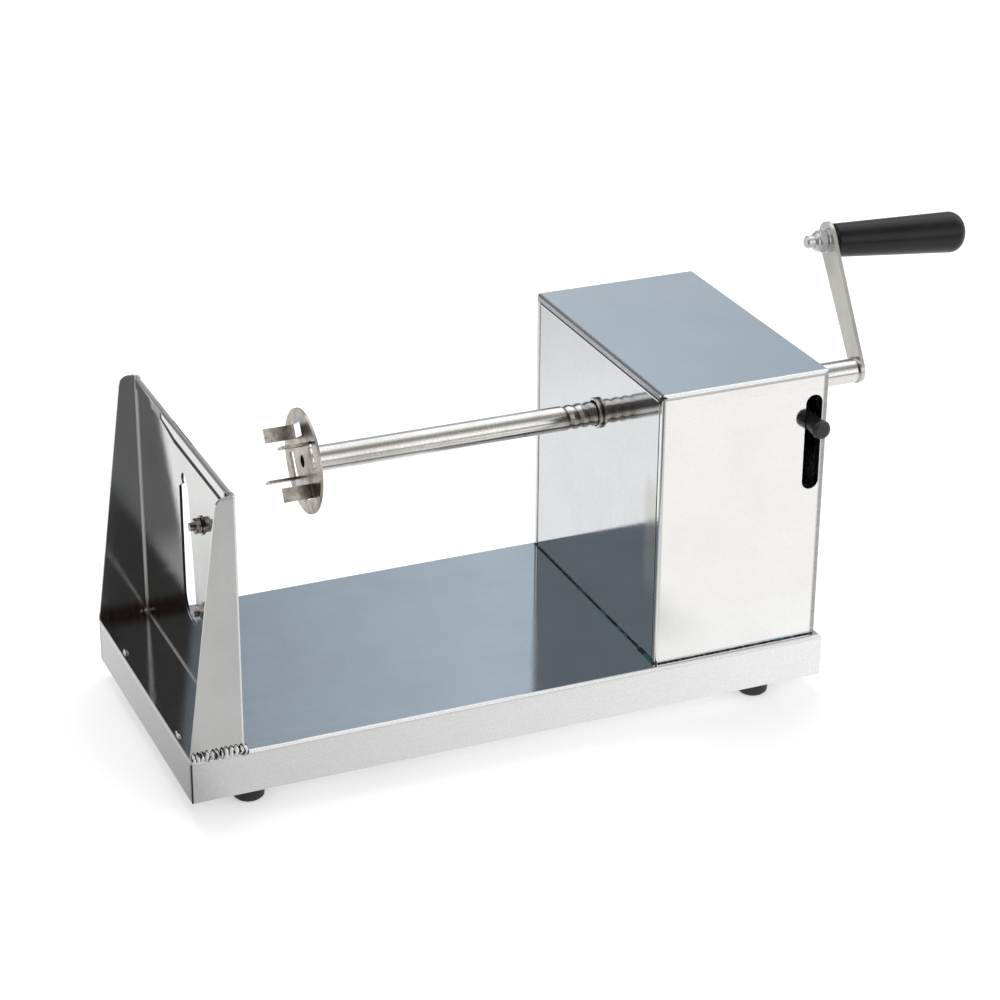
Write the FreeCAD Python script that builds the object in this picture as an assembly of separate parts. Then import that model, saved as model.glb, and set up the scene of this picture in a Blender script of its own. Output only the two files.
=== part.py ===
"""Hand-cranked spiral potato cutter, one STEP file per piece.

Millimetres. Origin on the table, under the middle of the base tray. +X runs along the spindle
towards the crank, +Z is up, and the blade stand is at the -X end. The near side is -Y.
"""
import math
import os

import FreeCAD
import Part

V = FreeCAD.Vector

# ---------------------------------------------------------------- driving dimensions
sheet = 1.0                 # thickness of the folded steel sheet
bend_outer = 1.2            # outside radius of a bend
weld_gap = 0.2              # gap between two sheets that are set side by side

base_length = 250.0
base_width = 116.0
skirt_height = 16.6
return_flange = 18.0        # width of the flange turned in under the long sides
seam_gap = 0.35             # open seam at the tray's corners

foot_height = 6.9           # from the table to the skirt's lower edge
foot_top_dia = 13.0
foot_bottom_dia = 11.2
foot_edge_round = 0.8
foot_from_end = 23.7
foot_from_side = 9.5
foot_screw_dia = 4.0
foot_screw_length = 10.0
screw_clearance = 0.2       # radial, round a screw's shank
thread_gap = 0.05           # radial, between a nut and its screw

stand_inset = 20.0          # from the tray's front end to the stand's rear face
stand_height = 98.9         # above the tray
gusset_top = 7.0            # depth of a gusset at its top
gusset_corner = 4.0
hem_height = 4.0
hem_end_gap = 3.0           # from a gusset's inner face to the hem's end
relief_dia = 1.8            # hole where three bends meet

slot_left = 6.0             # slice slot, sideways from the spindle's plane
slot_right_top = 4.6
slot_right_bottom = 10.0
slot_below_spindle = 4.4    # from the spindle's axis to the slot's upper left corner
slot_depth = 54.6           # from the spindle's axis to the slot's lower edge
slot_corner = 9.0
skewer_hole_dia = 6.0

blade_thickness = 0.8
blade_flat_edge = 32.0      # from the spindle's plane to the blade's clamped edge
blade_bend = 11.0           # from the spindle's plane to the bend
blade_tip = 0.8             # past the spindle's plane
blade_rise = 3.8            # how far the cutting edge stands off the stand
blade_below_spindle = 3.6   # from the spindle's axis to the blade's upper end
blade_length = 52.0
blade_corner = 2.0
blade_screw_dia = 3.0
blade_screw_side = 20.0     # from the spindle's plane to the screws
blade_screw_drop = 8.6      # from the spindle's axis to the upper screw
blade_screw_pitch = 34.0
blade_screw_length = 6.0
blade_washer_dia = 7.0
blade_washer_thickness = 0.5

housing_length = 67.5
housing_from_rear = 1.5     # from the housing's rear face to the tray's rear end
housing_near_margin = 3.0   # from the tray's near side to the housing
housing_far_margin = 1.0    # from the tray's far side to the housing
housing_height = 108.1      # above the tray
housing_lip = 2.6           # cover's edge turned in at both ends
panel_inset = 0.2           # panel's face behind the cover's edge
panel_flange = 8.0
panel_bend = 1.2

spindle_above_tray = 80.1
tube_dia = 9.5
tube_wall = 1.1
tube_past_housing = 43.8    # from the housing's rear face to the tube's rear end
disc_from_front = 63.7      # from the tray's front end to the disc's front face
bush_clearance = 0.25       # radial, between the tube and a bush

groove_pitch = 4.0
groove_turns = 26.5
groove_before_housing = 15.5
groove_depth = 0.6
groove_width = 3.0

disc_dia = 39.0
disc_thickness = 1.0
skewer_bore_dia = 4.6
prong_count = 4
prong_first_angle = 60.0
prong_radius = 11.5         # from the axis to the middle of a window
prong_width = 5.2
prong_length = 11.0
prong_thickness = 1.0
prong_offset = 4.4          # from a window's middle to the prong's inner face
window_reach = 5.0          # from a window's middle to its far end
prong_bend = 0.4            # inside radius

front_bush_dia = 11.8
front_bush_flange = 1.4
front_barrel_dia = 11.0
barrel_clearance = 0.15     # radial, front bush in its panel
clip_dia = 13.2
clip_thickness = 0.8
clip_gap = 0.2
rear_bush_dia = 14.0
rear_bush_flange = 1.6
rear_barrel_dia = 12.0
bush_barrel_length = 4.0

arm_length = 54.1           # from the spindle's axis to the grip's bolt
arm_past_bolt = 1.6         # the rounded end's middle lies this far past the bolt
arm_angle = 49.7            # from +Y towards +Z
arm_lean = 3.9              # the arm leans away from the housing
arm_thickness = 1.5
arm_top_dia = 12.2
grip_bolt_dia = 5.0
bolt_past_nut = 3.3
nut_height = 5.0
nut_flats = 8.0
grip_washer_dia = 10.0
nut_washer_dia = 10.0
washer_thickness = 1.0
grip_gap = 0.2              # at each end of the grip
grip_length = 57.4
grip_small_dia = 13.3
grip_big_dia = 16.8
grip_end_round = 5.5
grip_start_round = 0.6
grip_bore_gap = 0.08        # radial, on its bolt
grip_recess_dia = 10.4
grip_recess = 6.6
bolt_head_dia = 8.5
bolt_head_height = 4.5
bolt_socket_flats = 4.0

lever_tooth_turn = 18       # the tooth stands in this turn of the groove
lever_thickness = 1.5
lever_height = 14.0
lever_below_tube = 1.0      # from the tube to the lever's upper edge
lever_pivot_margin = 15.0   # from the housing's far side to the pivot
lever_bend_side = 26.0      # where the lever starts to rise
lever_tab_margin = 11.0     # from the housing's near side to the folded tab
lever_tab_height = 13.0
lever_tab_past_knob = 3.6
lever_corner = 4.0
tooth_width = 2.0
tooth_bite = 0.25           # how far the tooth reaches into the groove
tooth_tip = 0.3
tooth_root = 0.8
knob_above_spindle = 7.4
knob_dia = 6.3
knob_end_dia = 7.3          # the knob swells outside the slot
knob_past_wall = 7.4
knob_dome = 1.2
knob_screw_length = 12.0
knob_screw_dia = 3.8
pivot_bolt_dia = 5.0
pivot_gap = 0.1             # radial, lever on its bolt
pivot_side_gap = 0.2
spacer_dia = 9.0
pivot_washer_dia = 10.0
pivot_nut_flats = 8.0
pivot_nut_height = 4.0

lever_slot_width = 6.8
lever_slot_above = 19.0     # from the spindle's axis to the slot's upper end
lever_slot_below = 18.8     # from the spindle's axis to its lower end
knob_to_rear = 5.9          # from the slot's middle to the housing's rear face

spring_side = 22.0
spring_radius = 2.4
spring_wire = 0.7
spring_hole_dia = 2.6
spring_hole_edge = 3.0      # from a hole's middle to the edge it hooks over
spring_turns = 9
hanger_height = 11.0
hanger_width = 10.0
hanger_foot = 9.0
hanger_sheet = 1.2

bead_height = 5.2           # weld bead at a gusset's foot
bead_bulge = 1.6
bead_lift = 1.5             # the bead's middle stands this far above the tray
tack_length = 2.6
tack_height = 0.9
tack_near = 39.0
tack_far = 27.6
fillet_weld = 1.4           # leg of the weld fillets on the spindle

# ---------------------------------------------------------------- levels and faces
tray_top = foot_height + skirt_height
spindle_z = tray_top + spindle_above_tray
front_end = -base_length / 2
side = base_width / 2
stand_rear = front_end + stand_inset
stand_face = stand_rear - sheet
stand_top = tray_top + stand_height
housing_x1 = base_length / 2 - housing_from_rear
housing_x0 = housing_x1 - housing_length
housing_y0 = -side + housing_near_margin
housing_y1 = side - housing_far_margin
housing_z1 = tray_top + housing_height
panel_front = housing_x0 + panel_inset
panel_rear = housing_x1 - panel_inset
tube_r = tube_dia / 2
tube_bore_r = tube_r - tube_wall
bush_bore_r = tube_r + bush_clearance
disc_front = front_end + disc_from_front
disc_rear = disc_front + disc_thickness
tube_end = housing_x1 + tube_past_housing
groove_x0 = housing_x0 - groove_before_housing
lever_x = groove_x0 + (lever_tooth_turn * groove_pitch)
lever_front = lever_x - lever_thickness / 2
lever_rear = lever_x + lever_thickness / 2
lever_top = spindle_z - tube_r - lever_below_tube
lever_pivot_z = lever_top - lever_height / 2
knob_x = housing_x1 - knob_to_rear
knob_z = spindle_z + knob_above_spindle
tab_reach = knob_x - lever_front + lever_tab_past_knob
lever_pivot_side = housing_y1 - lever_pivot_margin
lever_knob_side = -housing_y0 - lever_tab_margin
rear_inner = panel_rear - sheet


# ---------------------------------------------------------------- shape helpers
def box(x0, x1, y0, y1, z0, z1):
    """A block between two corners."""
    return Part.makeBox(x1 - x0, y1 - y0, z1 - z0, V(x0, y0, z0))


def rod(radius, start, end):
    """A round bar from one point to another."""
    along = V(*end) - V(*start)
    return Part.makeCylinder(radius, along.Length, V(*start), along)


def hexagon(flats, start, end):
    """A hexagonal bar across flats, from one point to another along X or Z."""
    along = V(*end) - V(*start)
    corner = flats / math.sqrt(3)
    points = [V(corner * math.cos(a * math.pi / 3), corner * math.sin(a * math.pi / 3), 0) for a in range(7)]
    bar = Part.Face(Part.makePolygon(points)).extrude(V(0, 0, along.Length))
    bar.Placement = FreeCAD.Placement(V(*start), FreeCAD.Rotation(V(0, 0, 1), along))
    return bar


def chamfered_nut(flats, start, end):
    """A hexagonal bar with its corners turned down at both ends."""
    along = V(*end) - V(*start)
    corner = flats / math.sqrt(3)
    turned = Part.makeCone(flats / 2 * 0.95, flats / 2 * 0.95 + along.Length, along.Length)
    other = turned.mirror(V(0, 0, along.Length / 2), V(0, 0, 1))
    cone = turned.common(other).common(Part.makeCylinder(corner, along.Length))
    cone.Placement = FreeCAD.Placement(V(*start), FreeCAD.Rotation(V(0, 0, 1), along))
    return hexagon(flats, start, end).common(cone)


def slab(points, axis, thickness, start):
    """A flat outline swept along an axis: (y, z) points along X, (x, z) points along Y."""
    if axis == "x":
        corners = [V(start, a, b) for a, b in points]
        sweep = V(thickness, 0, 0)
    else:
        corners = [V(a, start, b) for a, b in points]
        sweep = V(0, thickness, 0)
    return Part.Face(Part.makePolygon(corners + corners[:1])).extrude(sweep)


def edges_where(shape, direction, test):
    """The straight edges along a direction whose middle passes a test."""
    found = []
    for edge in shape.Edges:
        first, last = edge.Vertexes[0].Point, edge.Vertexes[-1].Point
        span = last - first
        if span.Length < 1e-6 or span.normalize().cross(direction).Length > 1e-6:
            continue
        middle = (first + last) * 0.5
        if test(middle):
            found.append(edge)
    return found


def near(a, b, slack=0.01):
    """True when two lengths agree."""
    return abs(a - b) < slack


def turned(profile, origin, axis):
    """A closed (along, radius) profile turned about an axis through origin."""
    points = [V(radius, 0, along) for along, radius in profile]
    body = Part.Face(Part.makePolygon(points + points[:1])).revolve(V(0, 0, 0), V(0, 0, 1), 360)
    body.Placement = FreeCAD.Placement(V(*origin), FreeCAD.Rotation(V(0, 0, 1), V(*axis)))
    return body


def pan_screw(dia, head_at, tip_at):
    """A pan-head screw with a cross recess, from under its head to its tip."""
    along = (V(*tip_at) - V(*head_at)).normalize()
    head_r = 0.9 * dia
    head_h = 0.6 * dia
    length = (V(*tip_at) - V(*head_at)).Length
    head = Part.makeCylinder(head_r, head_h, V(0, 0, -head_h))
    top = [edge for edge in head.Edges if near(edge.BoundBox.ZMax, -head_h)]
    head = head.makeChamfer(0.25 * dia, top)
    for turn in (0, 90):
        groove = Part.makeBox(dia, 0.2 * dia, 0.3 * dia, V(-dia / 2, -0.1 * dia, -head_h))
        head = head.cut(groove.rotate(V(0, 0, 0), V(0, 0, 1), turn))
    screw = head.fuse(Part.makeCylinder(dia / 2, length)).removeSplitter()
    screw.Placement = FreeCAD.Placement(V(*head_at), FreeCAD.Rotation(V(0, 0, 1), along))
    return screw


# ---------------------------------------------------------------- base tray and feet
def foot_places():
    """The four feet: name, x and y."""
    x = base_length / 2 - foot_from_end
    y = side - foot_from_side
    return [("foot_front_near", -x, -y), ("foot_front_far", -x, y),
            ("foot_rear_near", x, -y), ("foot_rear_far", x, y)]


def base_tray():
    """Folded tray: top, four skirts with open corner seams, and two return flanges."""
    end = base_length / 2
    outer = box(-end, end, -side, side, foot_height, tray_top)
    outer = outer.makeFillet(bend_outer, [e for e in outer.Edges if near(e.BoundBox.ZMin, tray_top)])
    inner = box(-end + sheet, end - sheet, -side + sheet, side - sheet, foot_height - sheet, tray_top - sheet)
    upper = [e for e in inner.Edges if near(e.BoundBox.ZMin, tray_top - sheet)]
    tray = outer.cut(inner.makeFillet(bend_outer - sheet, upper))
    for out in (-1, 1):
        y0, y1 = sorted((out * (side - sheet), out * (side - return_flange)))
        reach = end - sheet - seam_gap
        flange = box(-reach, reach, y0, y1, foot_height, foot_height + sheet)
        tray = tray.fuse(flange)
    for out_x in (-1, 1):
        for out_y in (-1, 1):
            x0, x1 = sorted((out_x * (end - sheet), out_x * (end + sheet)))
            y0, y1 = sorted((out_y * (side - sheet), out_y * (side - sheet - seam_gap)))
            tray = tray.cut(box(x0, x1, y0, y1, foot_height - sheet, tray_top - bend_outer))
    hole_r = foot_screw_dia / 2 + screw_clearance
    for _, x, y in foot_places():
        tray = tray.cut(rod(hole_r, (x, y, foot_height - sheet), (x, y, foot_height + 2 * sheet)))
    return tray.removeSplitter()


def foot(x, y):
    """A tapered rubber foot with a recess for its screw's head."""
    bottom_r = foot_bottom_dia / 2
    hole_r = foot_screw_dia / 2 + screw_clearance
    recess_r = foot_screw_dia + screw_clearance
    recess = foot_height / 2
    profile = [(0, recess_r), (0, bottom_r - foot_edge_round), (foot_edge_round, bottom_r),
               (foot_height, foot_top_dia / 2), (foot_height, hole_r), (recess, hole_r), (recess, recess_r)]
    return turned(profile, (x, y, 0), (0, 0, 1))


def foot_screws():
    """One pan-head screw up through each foot."""
    seat = foot_height / 2
    tip = seat + foot_screw_length
    return [pan_screw(foot_screw_dia, (x, y, seat), (x, y, tip)) for _, x, y in foot_places()]


def foot_nuts():
    """One hexagon nut on each foot screw, on top of the return flange."""
    low = foot_height + sheet
    high = low + 0.8 * foot_screw_dia
    bore = foot_screw_dia / 2 + thread_gap
    nuts = []
    for _, x, y in foot_places():
        nut = chamfered_nut(1.75 * foot_screw_dia, (x, y, low), (x, y, high))
        nuts.append(nut.cut(rod(bore, (x, y, low - 1), (x, y, high + 1))))
    return nuts


# ---------------------------------------------------------------- blade stand
def slice_slot():
    """The cutter for the slice slot and the skewer hole in the stand."""
    bottom = spindle_z - slot_depth
    top = spindle_z - slot_below_spindle
    hole_r = skewer_hole_dia / 2
    neck = spindle_z - hole_r / 3
    outline = [(slot_left, top), (hole_r / 3, neck), (-hole_r / 3, spindle_z + 0.9 * hole_r),
               (-slot_right_top, neck), (-slot_right_bottom, bottom), (slot_left, bottom)]
    depth = 4 * sheet
    cutter = slab(outline, "x", depth, stand_rear - depth / 2 - sheet / 2)
    along = V(1, 0, 0)
    left = edges_where(cutter, along, lambda m: near(m.y, slot_left) and near(m.z, bottom))
    cutter = cutter.makeFillet(slot_corner, left)
    right = edges_where(cutter, along, lambda m: near(m.y, -slot_right_bottom) and near(m.z, bottom))
    cutter = cutter.makeFillet(slot_corner / 2, right)
    hole = rod(hole_r, (stand_rear - depth, 0, spindle_z), (stand_rear + depth, 0, spindle_z))
    return cutter.fuse(hole)


def blade_stand():
    """One folded sheet: upright, two tapered gussets, toe flange and hemmed top."""
    outer = box(front_end, stand_rear, -side, side, tray_top, stand_top)
    up, across = V(0, 0, 1), V(0, 1, 0)
    bends = edges_where(outer, up, lambda m: near(m.x, stand_rear))
    bends += edges_where(outer, across, lambda m: near(m.x, stand_rear) and near(m.z, tray_top))
    outer = outer.makeFillet(bend_outer, bends)
    inner = box(front_end - sheet, stand_face, -side + sheet, side - sheet,
                tray_top + sheet, stand_top + sheet)
    bends = edges_where(inner, up, lambda m: near(m.x, stand_face))
    bends += edges_where(inner, across, lambda m: near(m.x, stand_face) and near(m.z, tray_top + sheet))
    stand = outer.cut(inner.makeFillet(bend_outer - sheet, bends))
    top_front = stand_rear - gusset_top
    out = front_end - 2 * sheet
    taper = [(front_end, tray_top + sheet), (top_front, stand_top), (top_front, stand_top + sheet),
             (out, stand_top + sheet), (out, tray_top + sheet)]
    stand = stand.cut(slab(taper, "y", base_width + 2 * sheet, -side - sheet))
    corners = edges_where(stand, across, lambda m: near(m.x, top_front) and near(m.z, stand_top))
    stand = stand.makeFillet(gusset_corner, corners)
    hem_y = side - sheet - hem_end_gap
    hem = box(stand_face - sheet, stand_rear, -hem_y, hem_y, stand_top - hem_height, stand_top)
    stand = stand.cut(box(stand_face, stand_rear, -hem_y, hem_y, stand_top - hem_height, stand_top + sheet))
    rounds = edges_where(hem, across, lambda m: near(m.z, stand_top))
    stand = stand.fuse(hem.makeFillet(0.95 * sheet, rounds))
    stand = stand.cut(slice_slot())
    for out_y in (-1, 1):
        y = out_y * (side - bend_outer)
        z = tray_top + bend_outer
        stand = stand.cut(rod(relief_dia / 2, (stand_face - 3 * sheet, y, z), (stand_rear + sheet, y, z)))
    for z in blade_screw_heights():
        stand = stand.cut(blade_screw_hole(z))
    return stand.removeSplitter()


def blade_screw_heights():
    """Heights of the two blade screws."""
    upper = spindle_z - blade_screw_drop
    return [upper, upper - blade_screw_pitch]


def blade_screw_hole(z):
    """The cutter for one blade screw's hole."""
    radius = blade_screw_dia / 2 + screw_clearance
    y = -blade_screw_side
    return rod(radius, (stand_face - 3 * sheet, y, z), (stand_rear + 3 * sheet, y, z))


def slicing_blade():
    """Clamped flat, raised wing and ground edge, in one sheet."""
    top = spindle_z - blade_below_spindle
    bottom = top - blade_length
    face = stand_rear + blade_thickness
    edge = stand_rear + blade_rise
    outline = [(stand_rear, -blade_flat_edge), (stand_rear, -blade_bend),
               (edge - blade_thickness / 3, blade_tip), (edge, blade_tip),
               (edge - blade_thickness / 4, blade_tip - 2 * blade_thickness),
               (face, -blade_bend - blade_thickness / 4), (face, -blade_flat_edge)]
    corners = [V(x, y, bottom) for x, y in outline]
    blade = Part.Face(Part.makePolygon(corners + corners[:1])).extrude(V(0, 0, blade_length))
    clamped = edges_where(blade, V(1, 0, 0), lambda m: near(m.y, -blade_flat_edge))
    blade = blade.makeFillet(blade_corner, clamped)
    for z in blade_screw_heights():
        blade = blade.cut(blade_screw_hole(z))
    return blade


def blade_screws():
    """Two screws with their heads on the blade."""
    head = stand_rear + blade_thickness
    tip = head - blade_screw_length - blade_thickness / 2
    return [pan_screw(blade_screw_dia, (head, -blade_screw_side, z), (tip, -blade_screw_side, z))
            for z in blade_screw_heights()]


def blade_washers():
    """Two washers in the stand's bay."""
    low = stand_face - blade_washer_thickness
    bore = blade_screw_dia / 2 + thread_gap
    y = -blade_screw_side
    washers = []
    for z in blade_screw_heights():
        disc = rod(blade_washer_dia / 2, (low, y, z), (stand_face, y, z))
        washers.append(disc.cut(rod(bore, (low - 1, y, z), (stand_face, y, z))))
    return washers


def blade_nuts():
    """Two hexagon nuts in the stand's bay."""
    high = stand_face - blade_washer_thickness
    low = high - 0.8 * blade_screw_dia
    bore = blade_screw_dia / 2 + thread_gap
    y = -blade_screw_side
    nuts = []
    for z in blade_screw_heights():
        nut = chamfered_nut(5.5 / 3 * blade_screw_dia, (low, y, z), (high, y, z))
        nuts.append(nut.cut(rod(bore, (low - 1, y, z), (high + 1, y, z))))
    return nuts


def stand_welds():
    """A bead at each gusset's foot and two tacks where the toe meets the tray's edge."""
    welds = []
    x0, x1 = front_end, stand_rear - bend_outer
    middle = tray_top + bead_lift
    for out_y in (-1, 1):
        y0, y1 = sorted((out_y * side, out_y * (side + bead_bulge)))
        bead = box(x0, x1, y0, y1, middle - bead_height / 2, middle + bead_height / 2)
        outer = [e for e in bead.Edges if near(e.CenterOfMass.y, out_y * (side + bead_bulge))]
        welds.append(bead.makeFillet(0.9 * bead_bulge, outer))
    for y in (-tack_near, tack_far):
        tack = box(front_end, front_end + tack_length, y - tack_length / 2, y + tack_length / 2,
                   tray_top + sheet, tray_top + sheet + tack_height)
        upper = [e for e in tack.Edges if near(e.CenterOfMass.z, tray_top + sheet + tack_height)]
        welds.append(tack.makeFillet(0.8 * tack_height, upper))
    return welds


# ---------------------------------------------------------------- housing
def housing_cover():
    """Near side, top and far side in one sheet, its edges turned in at both ends."""
    outer = box(housing_x0, housing_x1, housing_y0, housing_y1, tray_top, housing_z1)
    bends = [e for e in outer.Edges if not near(e.BoundBox.ZMax, tray_top)]
    outer = outer.makeFillet(bend_outer, bends)
    hollow = box(housing_x0 + sheet, housing_x1 - sheet, housing_y0 + sheet, housing_y1 - sheet,
                 tray_top - sheet, housing_z1 - sheet)
    bends = [e for e in hollow.Edges if not near(e.BoundBox.ZMax, tray_top - sheet)]
    ends = box(housing_x0 - sheet, housing_x1 + sheet, housing_y0 + housing_lip, housing_y1 - housing_lip,
               tray_top - sheet, housing_z1 - housing_lip)
    cover = outer.cut(hollow.makeFillet(bend_outer - sheet, bends)).cut(ends)
    for x in (housing_x0, housing_x1):
        for y in (housing_y0, housing_y1):
            corner = V(-bend_outer, -bend_outer, 0)
            notch = Part.makeBox(2 * bend_outer, 2 * bend_outer, 0.5 * bend_outer, corner)
            notch = notch.rotate(V(0, 0, 0), V(0, 0, 1), 45)
            cover = cover.cut(notch.translate(V(x, y, housing_z1 - bend_outer)))
    return cover.cut(lever_slot())


def lever_slot():
    """The cutter for the lever's slot in the near side, round at both ends."""
    half = lever_slot_width / 2
    low = spindle_z - lever_slot_below + half
    high = spindle_z + lever_slot_above - half
    y0, y1 = housing_y0 - sheet, housing_y0 + 2 * sheet
    slot = box(knob_x - half, knob_x + half, y0, y1, low, high)
    for z in (low, high):
        slot = slot.fuse(rod(half, (knob_x, y0, z), (knob_x, y1, z)))
    return slot


def end_panel(face, inward, hole_r):
    """A folded panel with its flanges turned into the housing, and the spindle's hole."""
    y0, y1 = housing_y0 + housing_lip + weld_gap, housing_y1 - housing_lip - weld_gap
    z1 = housing_z1 - housing_lip - weld_gap
    x0, x1 = sorted((face, face + inward * panel_flange))
    outer = box(x0, x1, y0, y1, tray_top, z1)
    outer = outer.makeFillet(panel_bend, folded_edges(outer, face))
    x0, x1 = sorted((face + inward * sheet, face + inward * (panel_flange + sheet)))
    inner = box(x0, x1, y0 + sheet, y1 - sheet, tray_top - sheet, z1 - sheet)
    panel = outer.cut(inner.makeFillet(panel_bend - sheet, folded_edges(inner, face + inward * sheet)))
    return panel.cut(rod(hole_r, (face - 2 * sheet, 0, spindle_z), (face + 2 * sheet, 0, spindle_z)))


def folded_edges(block, face):
    """The two upright edges and the upper edge of a panel's face."""
    uprights = edges_where(block, V(0, 0, 1), lambda m: near(m.x, face))
    upper = edges_where(block, V(0, 1, 0), lambda m: near(m.x, face) and near(m.z, block.BoundBox.ZMax))
    return uprights + upper


def front_panel():
    """The mirror-bright panel that the spindle enters."""
    return end_panel(panel_front, 1, front_barrel_dia / 2 + barrel_clearance)


def rear_panel():
    """The panel on the crank side: holes for the bush and the lever's bolt, and a notch for the knob."""
    panel = end_panel(panel_rear, -1, rear_barrel_dia / 2 + thread_gap)
    hole_r = pivot_bolt_dia / 2 + screw_clearance
    y, z = lever_pivot_side, lever_pivot_z
    panel = panel.cut(rod(hole_r, (rear_inner - sheet, y, z), (panel_rear + sheet, y, z)))
    notch = box(panel_rear - panel_flange - 1, knob_x + lever_slot_width / 2,
                housing_y0, housing_y0 + 2 * housing_lip,
                spindle_z - lever_slot_below, spindle_z + lever_slot_above)
    return panel.cut(notch)


def front_bush():
    """The flanged bush in the front panel. It turns with the spindle."""
    barrel = front_barrel_dia / 2
    flange_back = -clip_gap / 2
    flange_face = flange_back - front_bush_flange
    flange = front_bush_dia / 2
    profile = [(flange_face, bush_bore_r), (flange_face, flange - 0.3), (flange_face + 0.3, flange),
               (flange_back, flange), (flange_back, barrel), (bush_barrel_length, barrel),
               (bush_barrel_length, bush_bore_r)]
    return turned(profile, (panel_front, 0, spindle_z), (1, 0, 0))


def front_bush_clip():
    """The snap ring that keeps the front bush in its panel."""
    x0 = panel_front + sheet + clip_gap
    x1 = x0 + clip_thickness
    ring = rod(clip_dia / 2, (x0, 0, spindle_z), (x1, 0, spindle_z))
    ring = ring.cut(rod(front_barrel_dia / 2, (x0 - 1, 0, spindle_z), (x1 + 1, 0, spindle_z)))
    return ring.cut(box(x0 - 1, x1 + 1, -clip_thickness, clip_thickness, spindle_z, spindle_z + clip_dia))


def rear_bush():
    """The flanged bush pressed into the rear panel."""
    barrel = rear_barrel_dia / 2
    flange = rear_bush_dia / 2
    face = rear_bush_flange
    profile = [(face, bush_bore_r), (face, flange - 0.5), (face - 0.5, flange), (0, flange), (0, barrel),
               (-bush_barrel_length, barrel), (-bush_barrel_length, bush_bore_r)]
    return turned(profile, (panel_rear, 0, spindle_z), (1, 0, 0))


# ---------------------------------------------------------------- spindle
def spindle_tube():
    """The tube with its right-hand feed groove, a wide shallow V."""
    length = tube_end - disc_rear
    tube = Part.makeCylinder(tube_r, length)
    helix = Part.makeLongHelix(groove_pitch, groove_pitch * groove_turns, tube_r, 0, False)
    over = 0.25 * groove_depth
    half = groove_width / 2 * (groove_depth + over) / groove_depth
    corners = [V(tube_r - groove_depth, 0, 0), V(tube_r + over, 0, -half), V(tube_r + over, 0, half)]
    profile = Part.makePolygon(corners + corners[:1])
    groove = Part.Wire(helix.Edges).makePipeShell([profile], True, True)
    groove.translate(V(0, 0, groove_x0 - disc_rear))
    tube = tube.cut(groove).cut(Part.makeCylinder(tube_bore_r, length))
    # local X turns to -Z, so the helix starts under the spindle
    tube.Placement = FreeCAD.Placement(V(disc_rear, 0, spindle_z), FreeCAD.Rotation(V(0, 1, 0), 90))
    return tube


def folded_prong(angle):
    """One prong, folded forward out of the disc at one end of its window."""
    leg = 3 * prong_thickness
    back, front = disc_thickness, -prong_length
    inner = -prong_offset - prong_thickness
    outline = [(inner - leg, back), (-prong_offset, back), (-prong_offset, front),
               (inner, front), (inner, 0), (inner - leg, 0)]
    corners = [V(x, prong_radius - prong_width / 2, t) for t, x in outline]
    strip = Part.Face(Part.makePolygon(corners + corners[:1])).extrude(V(0, prong_width, 0))
    along = V(0, 1, 0)
    outside = edges_where(strip, along, lambda m: near(m.x, back) and near(m.z, -prong_offset))
    strip = strip.makeFillet(prong_bend + prong_thickness, outside)
    inside = edges_where(strip, along, lambda m: near(m.x, 0) and near(m.z, inner))
    strip = strip.makeFillet(prong_bend, inside)
    return strip.rotate(V(0, 0, 0), V(1, 0, 0), angle)


def holder_disc():
    """The disc with its windows, folded prongs and skewer hole."""
    disc = rod(disc_dia / 2, (0, 0, 0), (disc_thickness, 0, 0))
    window_start = -prong_offset - prong_thickness
    for number in range(prong_count):
        angle = prong_first_angle + number * 360 / prong_count
        window = box(-1, disc_thickness + 1, prong_radius - prong_width / 2, prong_radius + prong_width / 2,
                     window_start, window_reach)
        disc = disc.cut(window.rotate(V(0, 0, 0), V(1, 0, 0), angle))
    for number in range(prong_count):
        disc = disc.fuse(folded_prong(prong_first_angle + number * 360 / prong_count))
    disc = disc.cut(rod(skewer_bore_dia / 2, (-1, 0, 0), (disc_thickness + 1, 0, 0)))
    return disc.removeSplitter().translate(V(disc_front, 0, spindle_z))


def disc_weld():
    """The fillet of weld where the tube meets the disc."""
    leg = fillet_weld
    profile = [(0, tube_r), (0, tube_r + leg), (leg / 3, tube_r + leg / 2), (leg, tube_r)]
    return turned(profile, (disc_rear, 0, spindle_z), (1, 0, 0))


# ---------------------------------------------------------------- crank
def on_crank(shape):
    """Moves a piece from the crank's own frame (X along the spindle, Z along the arm) to its place."""
    shape.rotate(V(0, 0, 0), V(0, 1, 0), arm_lean)
    shape.rotate(V(0, 0, 0), V(1, 0, 0), arm_angle - 90)
    return shape.translate(V(tube_end + arm_step(), 0, spindle_z))


def arm_step():
    """How far the arm's root stands off the tube's end, so that the leaning arm clears it."""
    return tube_r * math.tan(math.radians(arm_lean))


def crank_arm():
    """A flat bar that tapers from the grip's bolt to the tube."""
    root, top = tube_r, arm_top_dia / 2
    reach = arm_length + arm_past_bolt
    tilt = math.asin((top - root) / reach)
    side_way, up_way = math.cos(tilt), -math.sin(tilt)
    outline = [V(0, out * r * side_way, z + r * up_way) for out, r, z in
               ((-1, root, 0), (-1, top, reach), (1, top, reach), (1, root, 0))]
    lower = Part.Arc(outline[3], V(0, 0, -root), outline[0]).toShape()
    upper = Part.Arc(outline[1], V(0, 0, reach + top), outline[2]).toShape()
    left = Part.LineSegment(outline[0], outline[1]).toShape()
    right = Part.LineSegment(outline[2], outline[3]).toShape()
    arm = Part.Face(Part.Wire([lower, left, upper, right])).extrude(V(arm_thickness, 0, 0))
    bore = grip_bolt_dia / 2 + thread_gap
    return on_crank(arm.cut(rod(bore, (-1, 0, arm_length), (arm_thickness + 1, 0, arm_length))))


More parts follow.
